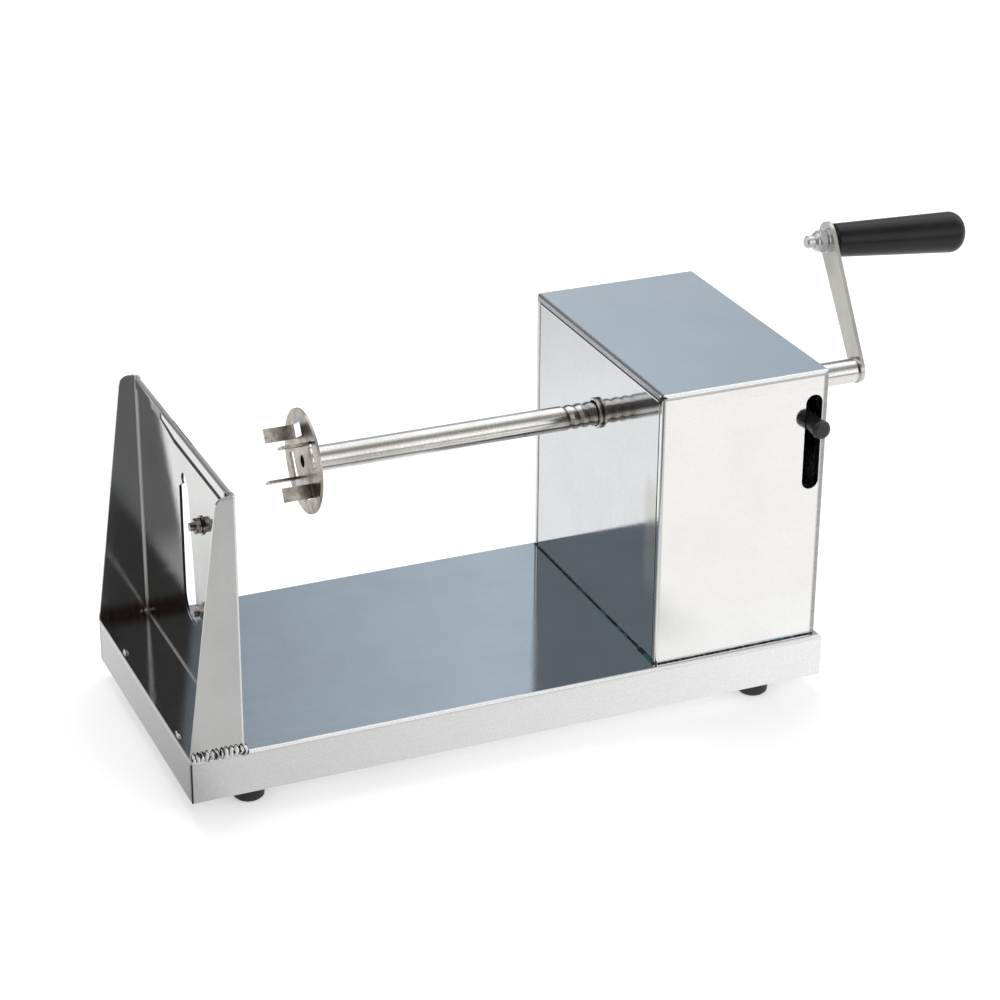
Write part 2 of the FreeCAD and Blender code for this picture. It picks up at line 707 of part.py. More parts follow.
def arm_weld():
    """The weld round the joint of tube and arm."""
    back = tube_end + arm_step()
    profile = [(-fillet_weld, tube_r), (-fillet_weld / 3, tube_r + fillet_weld / 3),
               (fillet_weld / 4, tube_r + fillet_weld / 4), (fillet_weld / 4, tube_r - 0.1), (0, tube_r)]
    ring = turned(profile, (tube_end, 0, spindle_z), (1, 0, 0))
    reach = 2 * (arm_thickness + tube_r)
    beyond = on_crank(box(0, reach, -reach, reach, -reach, arm_length))
    return ring.cut(beyond).cut(spindle_bar(back))


def spindle_bar(end):
    """The tube's outer cylinder up to a given end."""
    return rod(tube_r, (disc_rear, 0, spindle_z), (min(end, tube_end), 0, spindle_z))


def crank_rod(radius, start, end):
    """A bar about the grip's axis, in the crank's own frame."""
    return rod(radius, (start, 0, arm_length), (end, 0, arm_length))


def grip_start():
    """Where the grip begins, measured from the arm's front face."""
    return arm_thickness + washer_thickness + grip_gap


def grip_bolt():
    """The bolt through arm and grip, its head sunk in the grip's end."""
    tip = -washer_thickness - nut_height - bolt_past_nut
    seat = grip_start() + grip_length - grip_recess + grip_gap
    shank = crank_rod(grip_bolt_dia / 2, tip, seat)
    shank = shank.makeChamfer(0.6, [e for e in shank.Edges if near(e.BoundBox.XMax, tip)])
    head = crank_rod(bolt_head_dia / 2, seat, seat + bolt_head_height)
    head = head.makeFillet(1.0, [e for e in head.Edges if near(e.BoundBox.XMin, seat + bolt_head_height)])
    floor = seat + bolt_head_height / 2
    socket = hexagon(bolt_socket_flats, (floor, 0, arm_length), (seat + bolt_head_height + 1, 0, arm_length))
    return on_crank(shank.fuse(head).cut(socket).removeSplitter())


def grip_nut():
    """The self-locking nut, with its collar away from the arm."""
    seat = -washer_thickness
    collar = 0.3 * nut_height
    body = chamfered_nut(nut_flats, (seat - nut_height + collar, 0, arm_length), (seat, 0, arm_length))
    crown = crank_rod(0.46 * nut_flats, seat - nut_height, seat - nut_height + collar)
    rim = [e for e in crown.Edges if near(e.BoundBox.XMax, seat - nut_height)]
    crown = crown.makeChamfer(0.6 * collar, rim)
    bore = grip_bolt_dia / 2 + thread_gap
    return on_crank(body.fuse(crown).cut(crank_rod(bore, seat - nut_height - 1, 1)).removeSplitter())


def crank_washer(dia, start):
    """A plain washer on the grip's bolt."""
    bore = grip_bolt_dia / 2 + thread_gap
    ring = crank_rod(dia / 2, start, start + washer_thickness)
    return on_crank(ring.cut(crank_rod(bore, start - 1, start + washer_thickness + 1)))


def crank_grip():
    """The tapered grip, rounded at its ends and bored for its bolt."""
    start = grip_start()
    end = start + grip_length
    root = V(start, 0, arm_length)
    grip = Part.makeCone(grip_small_dia / 2, grip_big_dia / 2, grip_length, root, V(1, 0, 0))
    grip = grip.makeFillet(grip_end_round, [e for e in grip.Edges if near(e.BoundBox.XMin, end)])
    grip = grip.makeFillet(grip_start_round, [e for e in grip.Edges if near(e.BoundBox.XMax, start)])
    grip = grip.cut(crank_rod(grip_bolt_dia / 2 + grip_bore_gap, start - 1, end + 1))
    return on_crank(grip.cut(crank_rod(grip_recess_dia / 2, end - grip_recess, end + 1)))


# ---------------------------------------------------------------- release lever
def release_lever():
    """The sheet lever under the spindle: pivot eye, half-nut tooth, rise and folded tab."""
    low, high = lever_top - lever_height, lever_top
    rise = lever_bend_side
    tab = lever_knob_side
    tab_top, tab_bottom = knob_z + lever_tab_height / 2, knob_z - lever_tab_height / 2
    shoulder = tab - lever_height / 2
    outline = [(lever_pivot_side, high), (-rise, high), (-shoulder, tab_top), (-tab, tab_top),
               (-tab, tab_bottom), (-rise + lever_height / 4, low), (lever_pivot_side, low)]
    lever = slab(outline, "x", lever_thickness, lever_front)
    inside = edges_where(lever, V(1, 0, 0), lambda m: abs(m.y) < rise + 1)
    lever = lever.makeFillet(lever_corner, inside)
    pivot = (lever_pivot_side, lever_pivot_z)
    lever = lever.fuse(rod(lever_height / 2, (lever_front, *pivot), (lever_rear, *pivot)))
    flap = box(lever_front, lever_front + tab_reach, -tab - lever_thickness, -tab, tab_bottom, tab_top)
    free_corners = edges_where(flap, V(0, 1, 0), lambda m: m.x > knob_x)
    lever = lever.fuse(flap.makeFillet(lever_corner / 2, free_corners))
    lever = lever.fuse(half_nut_tooth())
    hook = (-spring_side, lever_top - spring_hole_edge)
    for radius, place in ((pivot_bolt_dia / 2 + pivot_gap, pivot), (spring_hole_dia / 2, hook)):
        lever = lever.cut(rod(radius, (lever_front - 1, *place), (lever_rear + 1, *place)))
    screw_r = knob_screw_dia / 2 + thread_gap
    lever = lever.cut(rod(screw_r, (knob_x, -tab - 3 * sheet, knob_z), (knob_x, -tab + sheet, knob_z)))
    return lever.removeSplitter()


def half_nut_tooth():
    """The wedge on the lever's upper edge that stands in the groove."""
    tip_z = spindle_z - tube_r + tooth_bite
    root_z = spindle_z - tube_r - 0.15
    foot_z = lever_top - sheet
    half = tooth_width / 2
    outline = [(lever_x - tooth_tip / 2, tip_z), (lever_x + tooth_tip / 2, tip_z),
               (lever_x + tooth_root / 2, root_z), (lever_rear, lever_top), (lever_rear, foot_z),
               (lever_front, foot_z), (lever_front, lever_top), (lever_x - tooth_root / 2, root_z)]
    return slab(outline, "y", tooth_width, -half)


def knob_screw():
    """The screw that holds the knob to the lever's tab."""
    side_y = -lever_knob_side
    return pan_screw(knob_screw_dia, (knob_x, side_y, knob_z), (knob_x, side_y - knob_screw_length, knob_z))


def lever_knob():
    """The black knob, a domed sleeve that stands out through the slot."""
    start = lever_knob_side + lever_thickness
    end = -housing_y0 + knob_past_wall
    wall = -housing_y0 + sheet
    thin, thick = knob_dia / 2, knob_end_dia / 2
    bore = knob_screw_dia / 2 + thread_gap
    depth = lever_knob_side + knob_screw_length + screw_clearance
    third = knob_dome / 3
    profile = [(start, bore), (start, thin), (wall, thin), (end - knob_dome, thick),
               (end - third, thick - third), (end, thick - knob_dome), (end, 0), (depth, 0), (depth, bore)]
    return turned(profile, (knob_x, 0, knob_z), (0, -1, 0))


def pivot_bar(radius, start, end):
    """A bar about the lever's pivot."""
    return rod(radius, (start, lever_pivot_side, lever_pivot_z), (end, lever_pivot_side, lever_pivot_z))


def pivot_ring(dia, start, end):
    """A ring about the lever's pivot, bored for its bolt."""
    bore = pivot_bar(pivot_bolt_dia / 2 + thread_gap, start - 1, end + 1)
    return pivot_bar(dia / 2, start, end).cut(bore)


def lever_spacer():
    """The sleeve between the rear panel and the lever."""
    return pivot_ring(spacer_dia, lever_rear + pivot_side_gap, rear_inner)


def lever_washer():
    """The washer between the lever and its nut."""
    end = lever_front - pivot_side_gap
    return pivot_ring(pivot_washer_dia, end - washer_thickness, end)


def lever_pivot_nut():
    """The nut on the lever's bolt."""
    end = lever_front - pivot_side_gap - washer_thickness
    start = end - pivot_nut_height
    y, z = lever_pivot_side, lever_pivot_z
    return chamfered_nut(pivot_nut_flats, (start, y, z), (end, y, z)).cut(
        pivot_bar(pivot_bolt_dia / 2 + thread_gap, start - 1, end + 1))


def lever_pivot_bolt():
    """The hexagon bolt through the rear panel that the lever swings on."""
    tip = lever_front - pivot_side_gap - washer_thickness - pivot_nut_height - 1.5
    shank = pivot_bar(pivot_bolt_dia / 2, tip, panel_rear)
    y, z = lever_pivot_side, lever_pivot_z
    head = chamfered_nut(pivot_nut_flats, (panel_rear, y, z), (panel_rear + 0.7 * pivot_bolt_dia, y, z))
    return shank.fuse(head).removeSplitter()


def hanger_hole_z():
    """Height of the hole in the spring's hanger."""
    return housing_z1 - sheet - hanger_height + spring_hole_edge


def spring_hanger():
    """The angle under the cover's top that the spring hangs from."""
    top = housing_z1 - sheet
    x0 = lever_x - hanger_sheet / 2
    y0, y1 = -spring_side - hanger_width / 2, -spring_side + hanger_width / 2
    leg = box(x0, x0 + hanger_sheet, y0, y1, top - hanger_height, top)
    leg = leg.makeFillet(2.0, edges_where(leg, V(1, 0, 0), lambda m: near(m.z, top - hanger_height)))
    foot_leg = box(x0, x0 + hanger_foot, y0, y1, top - hanger_sheet, top)
    bar = leg.fuse(foot_leg)
    hook = (-spring_side, hanger_hole_z())
    return bar.cut(rod(spring_hole_dia / 2, (x0 - 1, *hook), (x0 + 2 * hanger_sheet, *hook))).removeSplitter()


def wire_outline(x, y, z, across, up):
    """A six-sided wire section about a point."""
    radius = spring_wire / 2
    turns = [number * math.pi / 3 for number in range(6)]
    centre = V(x, y, z)
    corners = [centre + across * (radius * math.cos(t)) + up * (radius * math.sin(t)) for t in turns]
    return Part.makePolygon(corners + corners[:1])


def lever_spring():
    """The extension spring: a coil with a ring hook at each end."""
    low_hole, high_hole = lever_top - spring_hole_edge, hanger_hole_z()
    bottom = low_hole + 2 * spring_radius
    top = high_hole - 2 * spring_radius
    helix = Part.makeLongHelix((top - bottom) / spring_turns, top - bottom, spring_radius, 0, False)
    section = wire_outline(spring_radius, 0, 0, V(1, 0, 0), V(0, 0, 1))
    spring = Part.Wire(helix.Edges).makePipeShell([section], True, True).translate(V(0, 0, bottom))
    for level, centre in ((bottom, low_hole + spring_radius), (top, high_hole - spring_radius)):
        link = rod(spring_wire / 2, (0, 0, level), (spring_radius, 0, level))
        ring = Part.Face(wire_outline(spring_radius, 0, 0, V(1, 0, 0), V(0, 0, 1)))
        ring = ring.revolve(V(0, 0, 0), V(0, 0, 1), 360).rotate(V(0, 0, 0), V(1, 0, 0), 90)
        spring = spring.fuse(link).fuse(ring.translate(V(0, 0, centre)))
    return spring.removeSplitter().translate(V(lever_x, -spring_side, 0))


# ---------------------------------------------------------------- write the pieces
def solids_of(piece):
    """The solids of a piece, whether it is one shape or a list of alike shapes."""
    shapes = piece if isinstance(piece, list) else [piece]
    return [solid for shape in shapes for solid in shape.Solids]


def main():
    """Builds every piece and writes it to parts/."""
    os.makedirs("parts", exist_ok=True)
    pieces = {name: foot(x, y) for name, x, y in foot_places()}
    makers = [base_tray, foot_screws, foot_nuts, blade_stand, stand_welds, slicing_blade, blade_screws,
              blade_washers, blade_nuts, housing_cover, front_panel, rear_panel, rear_bush,
              lever_pivot_bolt, lever_spacer, lever_washer, lever_pivot_nut, spring_hanger, lever_spring,
              front_bush, front_bush_clip, spindle_tube, holder_disc, disc_weld, crank_arm, arm_weld,
              grip_bolt, grip_nut, crank_grip, release_lever, knob_screw, lever_knob]
    pieces.update({maker.__name__: maker() for maker in makers})
    pieces["nut_washer"] = crank_washer(nut_washer_dia, -washer_thickness)
    pieces["grip_washer"] = crank_washer(grip_washer_dia, arm_thickness)
    for name, piece in pieces.items():
        solids = solids_of(piece)
        shape = solids[0] if len(solids) == 1 else Part.makeCompound(solids)
        shape.exportStep(f"parts/{name}.step")
        print(f"{name:18s} solids {len(solids)}  volume {shape.Volume:10.1f}  valid {shape.isValid()}")


main()
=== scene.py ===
# %% [markdown]
# # Dressing a spiral potato cutter
# The solid pieces of the cutter already exist: a folded tray on rubber feet, a blade stand, a
# housing with a grooved spindle through it, and a crank. This lesson gives them their surfaces,
# adds the welds that are too irregular for the drawing, and lights the whole like a product on
# a white table. It starts by loading the solids.
# %% Load the solids
import math
import random

import bpy
from mathutils import Matrix, Vector


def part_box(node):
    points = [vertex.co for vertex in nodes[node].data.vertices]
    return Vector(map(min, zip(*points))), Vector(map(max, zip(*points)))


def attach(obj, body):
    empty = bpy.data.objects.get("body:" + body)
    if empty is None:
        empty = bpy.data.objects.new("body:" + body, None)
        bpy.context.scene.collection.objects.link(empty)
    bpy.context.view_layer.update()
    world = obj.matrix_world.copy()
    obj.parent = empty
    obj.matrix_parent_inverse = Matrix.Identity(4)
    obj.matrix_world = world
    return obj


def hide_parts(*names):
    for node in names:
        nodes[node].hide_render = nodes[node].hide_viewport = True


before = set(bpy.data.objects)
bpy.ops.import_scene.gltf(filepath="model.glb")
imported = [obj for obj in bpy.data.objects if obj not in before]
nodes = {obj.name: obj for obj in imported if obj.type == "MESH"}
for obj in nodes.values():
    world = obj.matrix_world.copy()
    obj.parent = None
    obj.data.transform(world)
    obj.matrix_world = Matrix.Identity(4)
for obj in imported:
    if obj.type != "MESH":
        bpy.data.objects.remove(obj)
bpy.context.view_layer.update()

# %% [markdown]
# ## The camera
# The cutter is seen from its near side, a little above the table, with the blade stand on the
# left. A camera could be aimed by a constraint, but a fixed matrix stays where it is put. The
# angles give three directions, right, up and back, which are the columns of its matrix.
# %% Place the camera
azimuth, elevation, roll = math.radians(-23.328), math.radians(25.087), math.radians(0.4276)
looked_at = Vector((0.0, 0.002, 0.0675))
offset_in_view = Vector((0.0160115, 0.0080407, 1.0474077))

back = Vector((math.sin(azimuth) * math.cos(elevation), -math.cos(azimuth) * math.cos(elevation),
               math.sin(elevation)))
right = Vector((math.cos(azimuth), math.sin(azimuth), 0))
up = back.cross(right)
turned_right = right * math.cos(roll) + up * math.sin(roll)
turned_up = up * math.cos(roll) - right * math.sin(roll)
axes = Matrix((turned_right, turned_up, back)).transposed()

lens = bpy.data.cameras.new("camera")
sensor_mm, focal_mm, nearest = 36, 100.524, 0.05
lens.sensor_width = sensor_mm
lens.lens = focal_mm
lens.clip_start = nearest
camera = bpy.data.objects.new("camera", lens)
bpy.context.scene.collection.objects.link(camera)
camera.matrix_world = Matrix.Translation(looked_at + axes @ offset_in_view) @ axes.to_4x4()
bpy.context.scene.camera = camera
print("camera at", tuple(round(v, 3) for v in camera.matrix_world.translation))

# %% [markdown]
# ## Helpers for node trees
# A material is a small network. Each node is added by one call that sets its properties and
# wires its inputs, so a network reads like a list of steps. `maths` and `blend` are the two
# steps used most: arithmetic on a number, and a mix of two colours by a mask.
# %% Node helpers
def put(tree, kind, wires=None, **settings):
    """Adds a node, sets its properties, and gives each named input a value or a wire."""
    node = tree.nodes.new(kind)
    for name, value in settings.items():
        setattr(node, name, value)
    for socket, value in (wires or {}).items():
        wire(tree, node.inputs[socket], value)
    return node


def wire(tree, socket, value):
    """Joins an output to an input, or writes a plain value in it."""
    if isinstance(value, bpy.types.NodeSocket):
        tree.links.new(value, socket)
    else:
        socket.default_value = value


def maths(tree, operation, first, second=0.0):
    """One arithmetic step."""
    return put(tree, "ShaderNodeMath", {0: first, 1: second}, operation=operation).outputs[0]


def spread(tree, value, low, high, to_low=0.0, to_high=1.0):
    """Maps a number from one span to another, held within it."""
    node = put(tree, "ShaderNodeMapRange", {"Value": value, "From Min": low, "From Max": high,
                                            "To Min": to_low, "To Max": to_high})
    return node.outputs["Result"]


def blend(tree, mask, first, second):
    """A colour between two, by a mask."""
    node = put(tree, "ShaderNodeMix", data_type="RGBA")
    for index, value in ((0, mask), (6, first), (7, second)):
        wire(tree, node.inputs[index], value if isinstance(value, bpy.types.NodeSocket) or index == 0
             else (*value, 1.0))
    return node.outputs[2]


def noise(tree, place, scale, detail=2.0, roughness=0.5):
    """Soft noise at a place."""
    return put(tree, "ShaderNodeTexNoise", {"Vector": place, "Scale": scale, "Detail": detail,
                                            "Roughness": roughness}).outputs["Fac"]


def object_place(tree):
    """Object coordinates, in metres, which stay with the piece as it moves."""
    return put(tree, "ShaderNodeTexCoord").outputs["Object"]


def between(tree, place, axis, low, high):
    """A mask that rises from 0 at low to 1 at high along X, Y or Z; it falls if low is over high."""
    parts = put(tree, "ShaderNodeSeparateXYZ", {0: place}).outputs
    node = put(tree, "ShaderNodeMapRange", {"Value": parts[axis], "From Min": low, "From Max": high})
    return node.outputs["Result"]


def zone(tree, place, edges):
    """A mask of one region: the product of its edges, each (axis, low, high)."""
    mask = between(tree, place, *edges[0])
    for edge in edges[1:]:
        mask = maths(tree, "MULTIPLY", mask, between(tree, place, *edge))
    return mask


def ramp(tree, value, low, high, stops):
    """Looks a number up in colours; a stop is (number, colour), and low and high are the ends."""
    node = put(tree, "ShaderNodeValToRGB", {"Fac": spread(tree, value, low, high)})
    band = node.color_ramp
    while len(band.elements) < len(stops):
        band.elements.new(0.5)
    for element, (number, colour) in zip(band.elements, stops):
        element.position = (number - low) / (high - low)
        element.color = (*colour, 1.0)
    return node.outputs["Color"]


def grey(level, cool=0.0):
    """A grey level, cooler for a positive second number."""
    return (level * (1 - cool), level, level * (1 + cool))


print("node helpers ready")

# %% [markdown]
# ## Shared effects
# Three effects come back on several metals. Rolled sheet carries fine streaks along the rolling
# direction. Everything that is handled picks up smudges and hair scratches. Heat and dirt leave
# brown specks. Each is a node group with named inputs, built once, so all pieces share it.
# %% Groups: rolled streaks, handling marks, specks
def new_group(title, inputs, outputs):
    """An empty node group with its sockets; inputs are (name, kind, value)."""
    tree = bpy.data.node_groups.new(title, "ShaderNodeTree")
    for name, kind, value in inputs:
        socket = tree.interface.new_socket(name, in_out="INPUT", socket_type="NodeSocket" + kind)
        socket.default_value = value
    for name in outputs:
        tree.interface.new_socket(name, in_out="OUTPUT", socket_type="NodeSocketFloat")
    return tree, tree.nodes.new("NodeGroupInput").outputs, tree.nodes.new("NodeGroupOutput").inputs


def stretched(tree, place, stretch, turn=(0, 0, 0)):
    """Coordinates scaled along each axis, after a turn."""
    return put(tree, "ShaderNodeMapping", {"Vector": place, "Rotation": turn, "Scale": stretch}).outputs[0]


streaks, given, result = new_group(
    "Rolled streaks", (("Vector", "Vector", (0, 0, 0)), ("Stretch", "Vector", (60, 2500, 2500))),
    ("Height", "Band"))
lines = put(streaks, "ShaderNodeVectorMath", {0: given["Vector"], 1: given["Stretch"]},
            operation="MULTIPLY").outputs[0]
wire(streaks, result["Height"], noise(streaks, lines, 1.0, 3.0, 0.6))
wide = put(streaks, "ShaderNodeVectorMath", {0: lines, 1: (0.12, 0.12, 0.12)},
           operation="MULTIPLY").outputs[0]
wire(streaks, result["Band"], noise(streaks, wide, 1.0, 2.0))

marks, given, result = new_group(
    "Handling marks", (("Vector", "Vector", (0, 0, 0)), ("Size", "Float", 40.0)),
    ("Smudge", "Scratch"))
cloud = noise(marks, put(marks, "ShaderNodeVectorMath", {0: given["Vector"], "Scale": given["Size"]},
                         operation="SCALE").outputs[0], 1.0, 5.0, 0.55)
wire(marks, result["Smudge"], spread(marks, cloud, 0.42, 0.68))
hairs = None
for turn, stretch in (((0.2, 0.5, 0.6), (35, 2600, 2600)), ((1.1, 0.3, 2.1), (50, 3400, 3400)),
                      ((2.3, 1.2, 0.4), (42, 3000, 3000))):
    field = noise(marks, stretched(marks, given["Vector"], stretch, turn), 1.0, 1.0)
    hair = spread(marks, field, 0.735, 0.775)
    hairs = hair if hairs is None else maths(marks, "MAXIMUM", hairs, hair)
wire(marks, result["Scratch"], hairs)

specks, given, result = new_group(
    "Heat and dirt specks", (("Vector", "Vector", (0, 0, 0)), ("Size", "Float", 900.0)),
    ("Speck", "Stain"))
scaled = put(specks, "ShaderNodeVectorMath", {0: given["Vector"], "Scale": given["Size"]},
             operation="SCALE").outputs[0]
wire(specks, result["Speck"], spread(specks, noise(specks, scaled, 1.0, 4.0, 0.7), 0.52, 0.7))
broad = put(specks, "ShaderNodeVectorMath", {0: scaled, 1: (0.14, 0.14, 0.14)},
            operation="MULTIPLY").outputs[0]
wire(specks, result["Stain"], spread(specks, noise(specks, broad, 1.0, 4.0), 0.45, 0.7))
print("groups:", [g.name for g in bpy.data.node_groups])


# %% [markdown]
# ## Metal finishes
# All the metals are one recipe with different numbers: a base colour that drifts with the
# smudges, a roughness that grows where the sheet was touched, and a bump from the streaks.
# Writing it as a function keeps the pieces alike where they are alike, and each call says only
# what is special about one piece.
# %% The recipe for bare metal
def new_material(name):
    """A material with a bare Principled shader; returns the material, its tree and the shader."""
    material = bpy.data.materials.new(name)
    material.use_nodes = True
    tree = material.node_tree
    return material, tree, tree.nodes["Principled BSDF"]


def use_group(tree, group, wires):
    """Places a shared effect in a material."""
    node = put(tree, "ShaderNodeGroup", node_tree=group)
    for socket, value in wires.items():
        wire(tree, node.inputs[socket], value)
    return node.outputs


def bare_metal(name, colour, dull, rough, rough_touched, stretch=(60, 2500, 2500), bump=0.08,
               smudge_size=40.0, speck_amount=0.0, speck_size=900.0, speck_colour=(0.2, 0.15, 0.1),
               metal=1.0, grain=0.25, zones=()):
    """Bare metal: streaks, smudges, scratches, fine grain and, on request, brown specks and zones.

    A zone is (edges, colour, added roughness, metallic, evenness): a region where the finish differs; some
    zones are painted highlights and painted shade."""
    material, tree, shader = new_material(name)
    place = object_place(tree)
    streak = use_group(tree, streaks, {"Vector": place, "Stretch": stretch})
    mark = use_group(tree, marks, {"Vector": place, "Size": smudge_size})
    tone = blend(tree, mark["Smudge"], colour, dull)
    tone = blend(tree, spread(tree, streak["Band"], 0.3, 0.7, 0.0, 0.35), tone, dull)
    if speck_amount:
        dirt = use_group(tree, specks, {"Vector": place, "Size": speck_size})
        amount = maths(tree, "MULTIPLY", maths(tree, "MAXIMUM", dirt["Speck"], dirt["Stain"]), speck_amount)
        tone = blend(tree, amount, tone, speck_colour)
    fine = spread(tree, noise(tree, place, 1700.0, 2.0), 0.35, 0.65, 0.0, grain)
    touched = maths(tree, "ADD", maths(tree, "MULTIPLY", mark["Smudge"], 0.7),
                    maths(tree, "MULTIPLY", streak["Height"], 0.6))
    gloss = spread(tree, touched, 0.1, 1.0, rough, rough_touched)
    shader.inputs["Metallic"].default_value = metal
    metallic = None
    for edges, zone_colour, zone_rough, zone_metal, even in zones:
        region = zone(tree, place, edges)
        patchy = maths(tree, "MULTIPLY", region, spread(tree, streak["Height"], 0.25, 0.65, even, 1.0))
        tone = blend(tree, patchy, tone, zone_colour)
        gloss = maths(tree, "ADD", gloss, maths(tree, "MULTIPLY", region, zone_rough))
        if zone_metal < metal:
            lost = maths(tree, "MULTIPLY", region, metal - zone_metal)
            metallic = maths(tree, "SUBTRACT", metal if metallic is None else metallic, lost)
    darker = put(tree, "ShaderNodeHueSaturation", {"Color": tone, "Value": 0.72}).outputs[0]
    tone = blend(tree, fine, tone, darker)
    wire(tree, shader.inputs["Base Color"], tone)
    wire(tree, shader.inputs["Roughness"], gloss)
    if metallic:
        wire(tree, shader.inputs["Metallic"], metallic)
    height = maths(tree, "SUBTRACT", streak["Height"], maths(tree, "MULTIPLY", mark["Scratch"], 0.5))
    wire(tree, shader.inputs["Normal"], put(tree, "ShaderNodeBump", {
        "Height": height, "Strength": bump, "Distance": 0.0001}).outputs[0])
    return material, tree, shader


print("recipe for bare metal ready")

# %% [markdown]
# A folded sheet isn't alike all over. The outside of a bend gets a painted highlight, and open
# corners, gaps, cut edges and hollows get painted shade. The skirt of the tray is brushed where the
# top is polished, and dirt gathers beside a lip. These regions are measured from the solids, so
# they sit where the folds are. Each is a box in space with soft edges.
# %% Where the folds are
tray_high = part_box("base_tray")[1]
stand_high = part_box("blade_stand")[1]
cover_low, cover_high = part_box("housing_cover")
tube_low, tube_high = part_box("spindle_tube")
tray_top, sheet = tray_high.z, 0.001
axle = (tube_low.z + tube_high.z) / 2
# A painted highlight for the outside of a bend.
painted_bend_highlight = ((0.97, 0.97, 0.96), 0.35, 0.15, 1.0)
# Painted shade for an open corner or gap.
painted_gap_shade = ((0.015, 0.014, 0.013), 0.3, 0.2, 1.0)
# Tray: the brushed skirt, painted highlights on the two long top bends, a lighter front end, and painted
# shade in the near front corner.
tray_zones = [
    ([("Z", tray_top - 0.0007, tray_top - 0.0018)], (0.94, 0.938, 0.934), 0.20, 1.0, 0.7),
    ([("Z", tray_top - 0.0009, tray_top - 0.0005), ("Y", -0.0570, -0.0574)], *painted_bend_highlight),
    ([("Z", tray_top - 0.0009, tray_top - 0.0005), ("Y", 0.0570, 0.0574)], *painted_bend_highlight),
    ([("X", -0.1243, -0.1247)], (0.84, 0.84, 0.84), 0.0, 1.0, 1.0),
    ([("X", -0.1242, -0.1246), ("Y", -0.0573, -0.0577), ("Z", tray_top - 0.0002, tray_top - 0.0012)], *painted_gap_shade),
]
face = stand_high.x - sheet
# Stand: a painted highlight on the far bend, a greyer strip at the foot of the upright, a dark patch on the
# top of the upright just past the end of the hem, a duller grey on the top edge as painted shade, a painted
# highlight on the near bend, painted shade on the cut edges of the slot, and a patchy brown tone low on the
# far side.
stand_zones = [
    ([("X", face - 0.0008, face - 0.0005), ("Y", 0.0564, 0.0568)], (0.90, 0.87, 0.86), 0.30, 0.15, 0.8),
    ([("X", face - 0.0008, face - 0.0005), ("Z", tray_top + 0.0016, tray_top + 0.0013)],
     (0.60, 0.58, 0.56), 0.30, 0.4, 0.8),
    ([("Z", stand_high.z - 0.0042, stand_high.z - 0.0039), ("Y", 0.0185, 0.0215), ("Y", 0.0340, 0.0300)],
     (0.16, 0.16, 0.16), 0.02, 1.0, 1.0),
    ([("Z", stand_high.z - 0.0010, stand_high.z - 0.0006), ("Y", 0.0562, 0.0552)],
     (0.50, 0.48, 0.46), 0.25, 0.6, 0.7),
    ([("X", stand_high.x - 0.0011, stand_high.x - 0.0006), ("Y", -0.0570, -0.0574)], *painted_bend_highlight),
    ([("X", face + 0.00005, face + 0.00015), ("X", stand_high.x - 0.00005, stand_high.x - 0.00015),
      ("Y", 0.0120, 0.0110), ("Y", -0.0120, -0.0110)], (0.10, 0.10, 0.105), 0.10, 1.0, 1.0),
    ([("Z", tray_top + 0.0075, tray_top + 0.0035), ("Y", 0.047, 0.053)],
     (0.20, 0.12, 0.09), 0.10, 1.0, 0.1),
]
cover_left, cover_right = cover_low.x, cover_high.x
cover_near, cover_top = cover_low.y, cover_high.z
# Cover: a painted highlight on the near top bend, a patchy darker grey strip on the front edge of the top
# fold, painted shade along the rear edge, a line of painted shade below the near top bend, and painted
# shade inside the cover, in a region that also takes in the outer face of the far side.
cover_zones = [
    ([("Z", cover_top - 0.0009, cover_top - 0.0005), ("Y", cover_near + 0.0013, cover_near + 0.0008),
      ("X", cover_left + 0.0008, cover_left + 0.0012)], *painted_bend_highlight),
    ([("X", cover_left + 0.0014, cover_left + 0.0008), ("Z", cover_top - 0.0032, cover_top - 0.0028),
      ("Y", cover_near + 0.0030, cover_near + 0.0040)], (0.36, 0.35, 0.37), 0.25, 0.9, 0.45),
    ([("X", cover_right - 0.0026, cover_right - 0.0018), ("Z", cover_top - 0.0008, cover_top - 0.0014)],
     (0.36, 0.355, 0.35), 0.20, 0.75, 0.7),
    ([("Y", cover_near + 0.0006, cover_near + 0.0003), ("Z", cover_top - 0.0022, cover_top - 0.0018),
      ("Z", cover_top - 0.0012, cover_top - 0.0014)], (0.50, 0.49, 0.475), 0.15, 0.6, 0.7),
    ([("X", cover_left + 0.0022, cover_left + 0.0026), ("X", cover_right - 0.0040, cover_right - 0.0044),
      ("Y", cover_near + 0.0006, cover_near + 0.0009), ("Z", cover_top - 0.0006, cover_top - 0.0009)],
     (0.06, 0.06, 0.06), 0.3, 0.6, 1.0),
]
panel_low, panel_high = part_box("front_panel")
# Panel: dirt beside the near lip, and painted shade along the gaps at its near and top edges.
panel_zones = [
    ([("Y", panel_low.y + 0.0115, panel_low.y + 0.0075), ("Z", 0.048, 0.058), ("Z", 0.098, 0.090)],
     (0.70, 0.68, 0.61), 0.05, 0.8, 0.0),
    ([("Y", panel_low.y + 0.0010, panel_low.y + 0.0008)], *painted_gap_shade),
    ([("Z", panel_high.z - 0.0007, panel_high.z - 0.0005)], *painted_gap_shade),
]
# Disc: dark brown at the roots of the prongs, and a painted highlight on the rim.
disc_zones = [
    ([("X", -0.0670, -0.0640), ("X", -0.0612, -0.0616)], (0.26, 0.21, 0.165), 0.05, 1.0, 0.3),
    ([("X", -0.0604, -0.0602)], (0.86, 0.84, 0.80), 0.1, 0.8, 0.8),
]
bush_low, bush_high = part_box("front_bush")
# Bush: a painted highlight on its front face.
bush_zones = [([("X", bush_low.x + 0.0011, bush_low.x + 0.0007)], (0.80, 0.78, 0.74), 0.05, 1.0, 0.6)]
